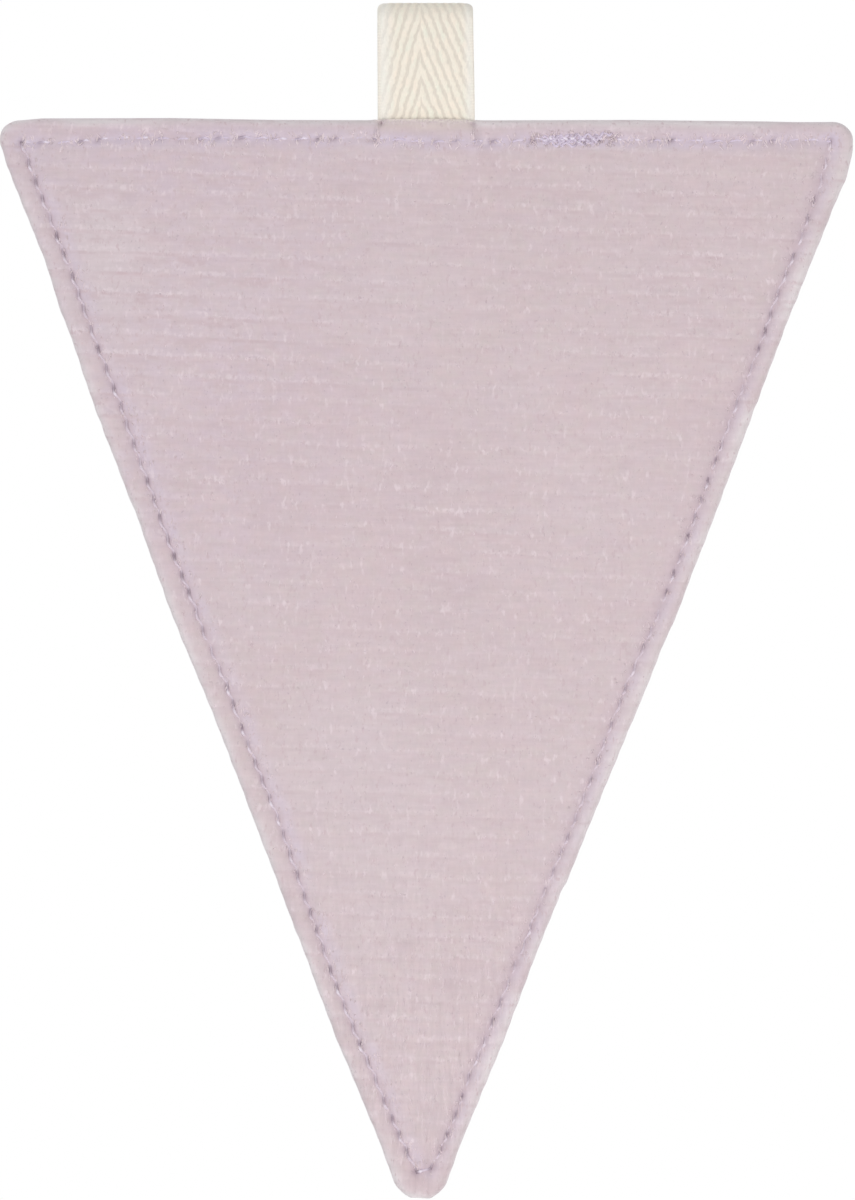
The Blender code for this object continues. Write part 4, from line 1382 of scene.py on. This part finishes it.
def cotton_material():
    """Unbleached cotton, with painted shade between the floats, and paler at the selvedges."""
    material, tree, shader = new_material(
        "natural_cotton_tape", Roughness=0.85, Specular_IOR_Level=0.25, Sheen_Weight=0.12)
    warm = grained(tree, COTTON, 1.6, 2.6, 0.0)[1]
    green = grained(tree, COTTON, 2.1, 3.7, 0.0)[1]
    colour = COTTON
    for share, tint in (
        (spread(tree, warm, 0.38, 0.66, 0.0, 1.0), COTTON_WARM),
        (spread(tree, green, 0.48, 0.68, 0.0, 0.8), COTTON_GREEN),
        # painted shade between the floats
        (spread(tree, attribute(tree, "weave"), 0.1, 0.75, 0.85, 0.0), COTTON_FLOAT_GAP_SHADE),
        (attribute(tree, "selvedge", 0.62), COTTON_SELVEDGE),
    ):
        colour = blend_colour(tree, share, colour, tint)
    colour, fibre = grained(tree, colour, 0.16, 0.9, 0.04)
    colour = grained(tree, colour, 0.6, 0.9, 0.02)[0]
    tree.links.new(colour, shader.inputs["Base Color"])
    bump = add_node(tree, "ShaderNodeBump", None, Strength=0.3, Distance=0.05 * MM, Height=fibre)
    tree.links.new(bump.outputs[0], shader.inputs["Normal"])
    return material


tape = hanging_tape()
tape.data.materials.append(cotton_material())
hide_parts("hang_loop")
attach(tape, "root")


# ----------------------------------------------------------------------------- floor and light
# A sheet of white paper half a metre below the loop, and soft light: a cool lamp from the upper
# left, a weaker warm one low on the right, two behind for the back, and a white surround that is
# brighter overhead.
FLOOR_DROP = 520.0 * MM
FLOOR_HALF = 500.0 * MM
PAPER_WHITE = (0.86, 0.86, 0.86, 1.0)
LAMP_AIM = (0.0, 0.0, -0.12)
SURROUND_LEVEL = 0.446
SURROUND_OVERHEAD = 0.88

bm = bmesh.new()
bmesh.ops.create_grid(bm, x_segments=1, y_segments=1, size=FLOOR_HALF)
bmesh.ops.translate(bm, verts=bm.verts, vec=(0.0, 0.0, -FLOOR_DROP))
floor = finished_piece("studio_floor", bm)
floor.data.materials.append(new_material("floor_paper", Base_Color=PAPER_WHITE, Roughness=0.9)[0])


def soft_lamp(name, place, size, watts, colour):
    """A round lamp that points at the pennant."""
    data = bpy.data.lights.new(name, "AREA")
    data.shape = "DISK"
    data.size = size
    data.energy = watts
    data.color = colour
    lamp = bpy.data.objects.new(name, data)
    lamp.location = place
    aim = np.array(LAMP_AIM) - np.array(place)
    yaw = math.atan2(aim[0], -aim[1])
    pitch = math.atan2(math.hypot(aim[0], aim[1]), -aim[2])
    lamp.rotation_euler = (pitch, 0.0, math.pi + yaw)
    bpy.context.scene.collection.objects.link(lamp)


soft_lamp("key_upper_left", (-1.1, -0.9, 0.20), 0.7, 5.5, (0.95, 0.96, 1.0))
soft_lamp("fill_low_right", (0.35, -0.75, -0.46), 0.6, 3.85, (1.0, 0.965, 0.955))
soft_lamp("back_left", (-0.9, 1.1, 0.5), 0.8, 4.4, (1.0, 0.98, 0.97))
soft_lamp("back_right", (1.1, 0.9, 0.1), 0.8, 3.7, (0.96, 0.97, 1.0))

world = bpy.data.worlds.new("white_surround")
world.use_nodes = True
bpy.context.scene.world = world
world_tree = world.node_tree
surround = world_tree.nodes["Background"]
surround.inputs["Color"].default_value = (1.0, 1.0, 1.0, 1.0)
sky = add_node(world_tree, "ShaderNodeTexCoord").outputs["Generated"]
upward = add_node(world_tree, "ShaderNodeSeparateXYZ", None, Vector=sky).outputs["Z"]
strength = spread(world_tree, upward, 0.35, 0.95, SURROUND_LEVEL, SURROUND_OVERHEAD)
world_tree.links.new(strength, surround.inputs["Strength"])
seen = add_node(world_tree, "ShaderNodeBackground", None, Color=(1.0, 1.0, 1.0, 1.0), Strength=1.0)
path = add_node(world_tree, "ShaderNodeLightPath")
choice = add_node(world_tree, "ShaderNodeMixShader", None, _0=path.outputs["Is Camera Ray"],
                  _1=surround.outputs[0], _2=seen.outputs[0])
world_tree.links.new(choice.outputs[0], world_tree.nodes["World Output"].inputs["Surface"])
bpy.context.scene.view_settings.view_transform = "Standard"
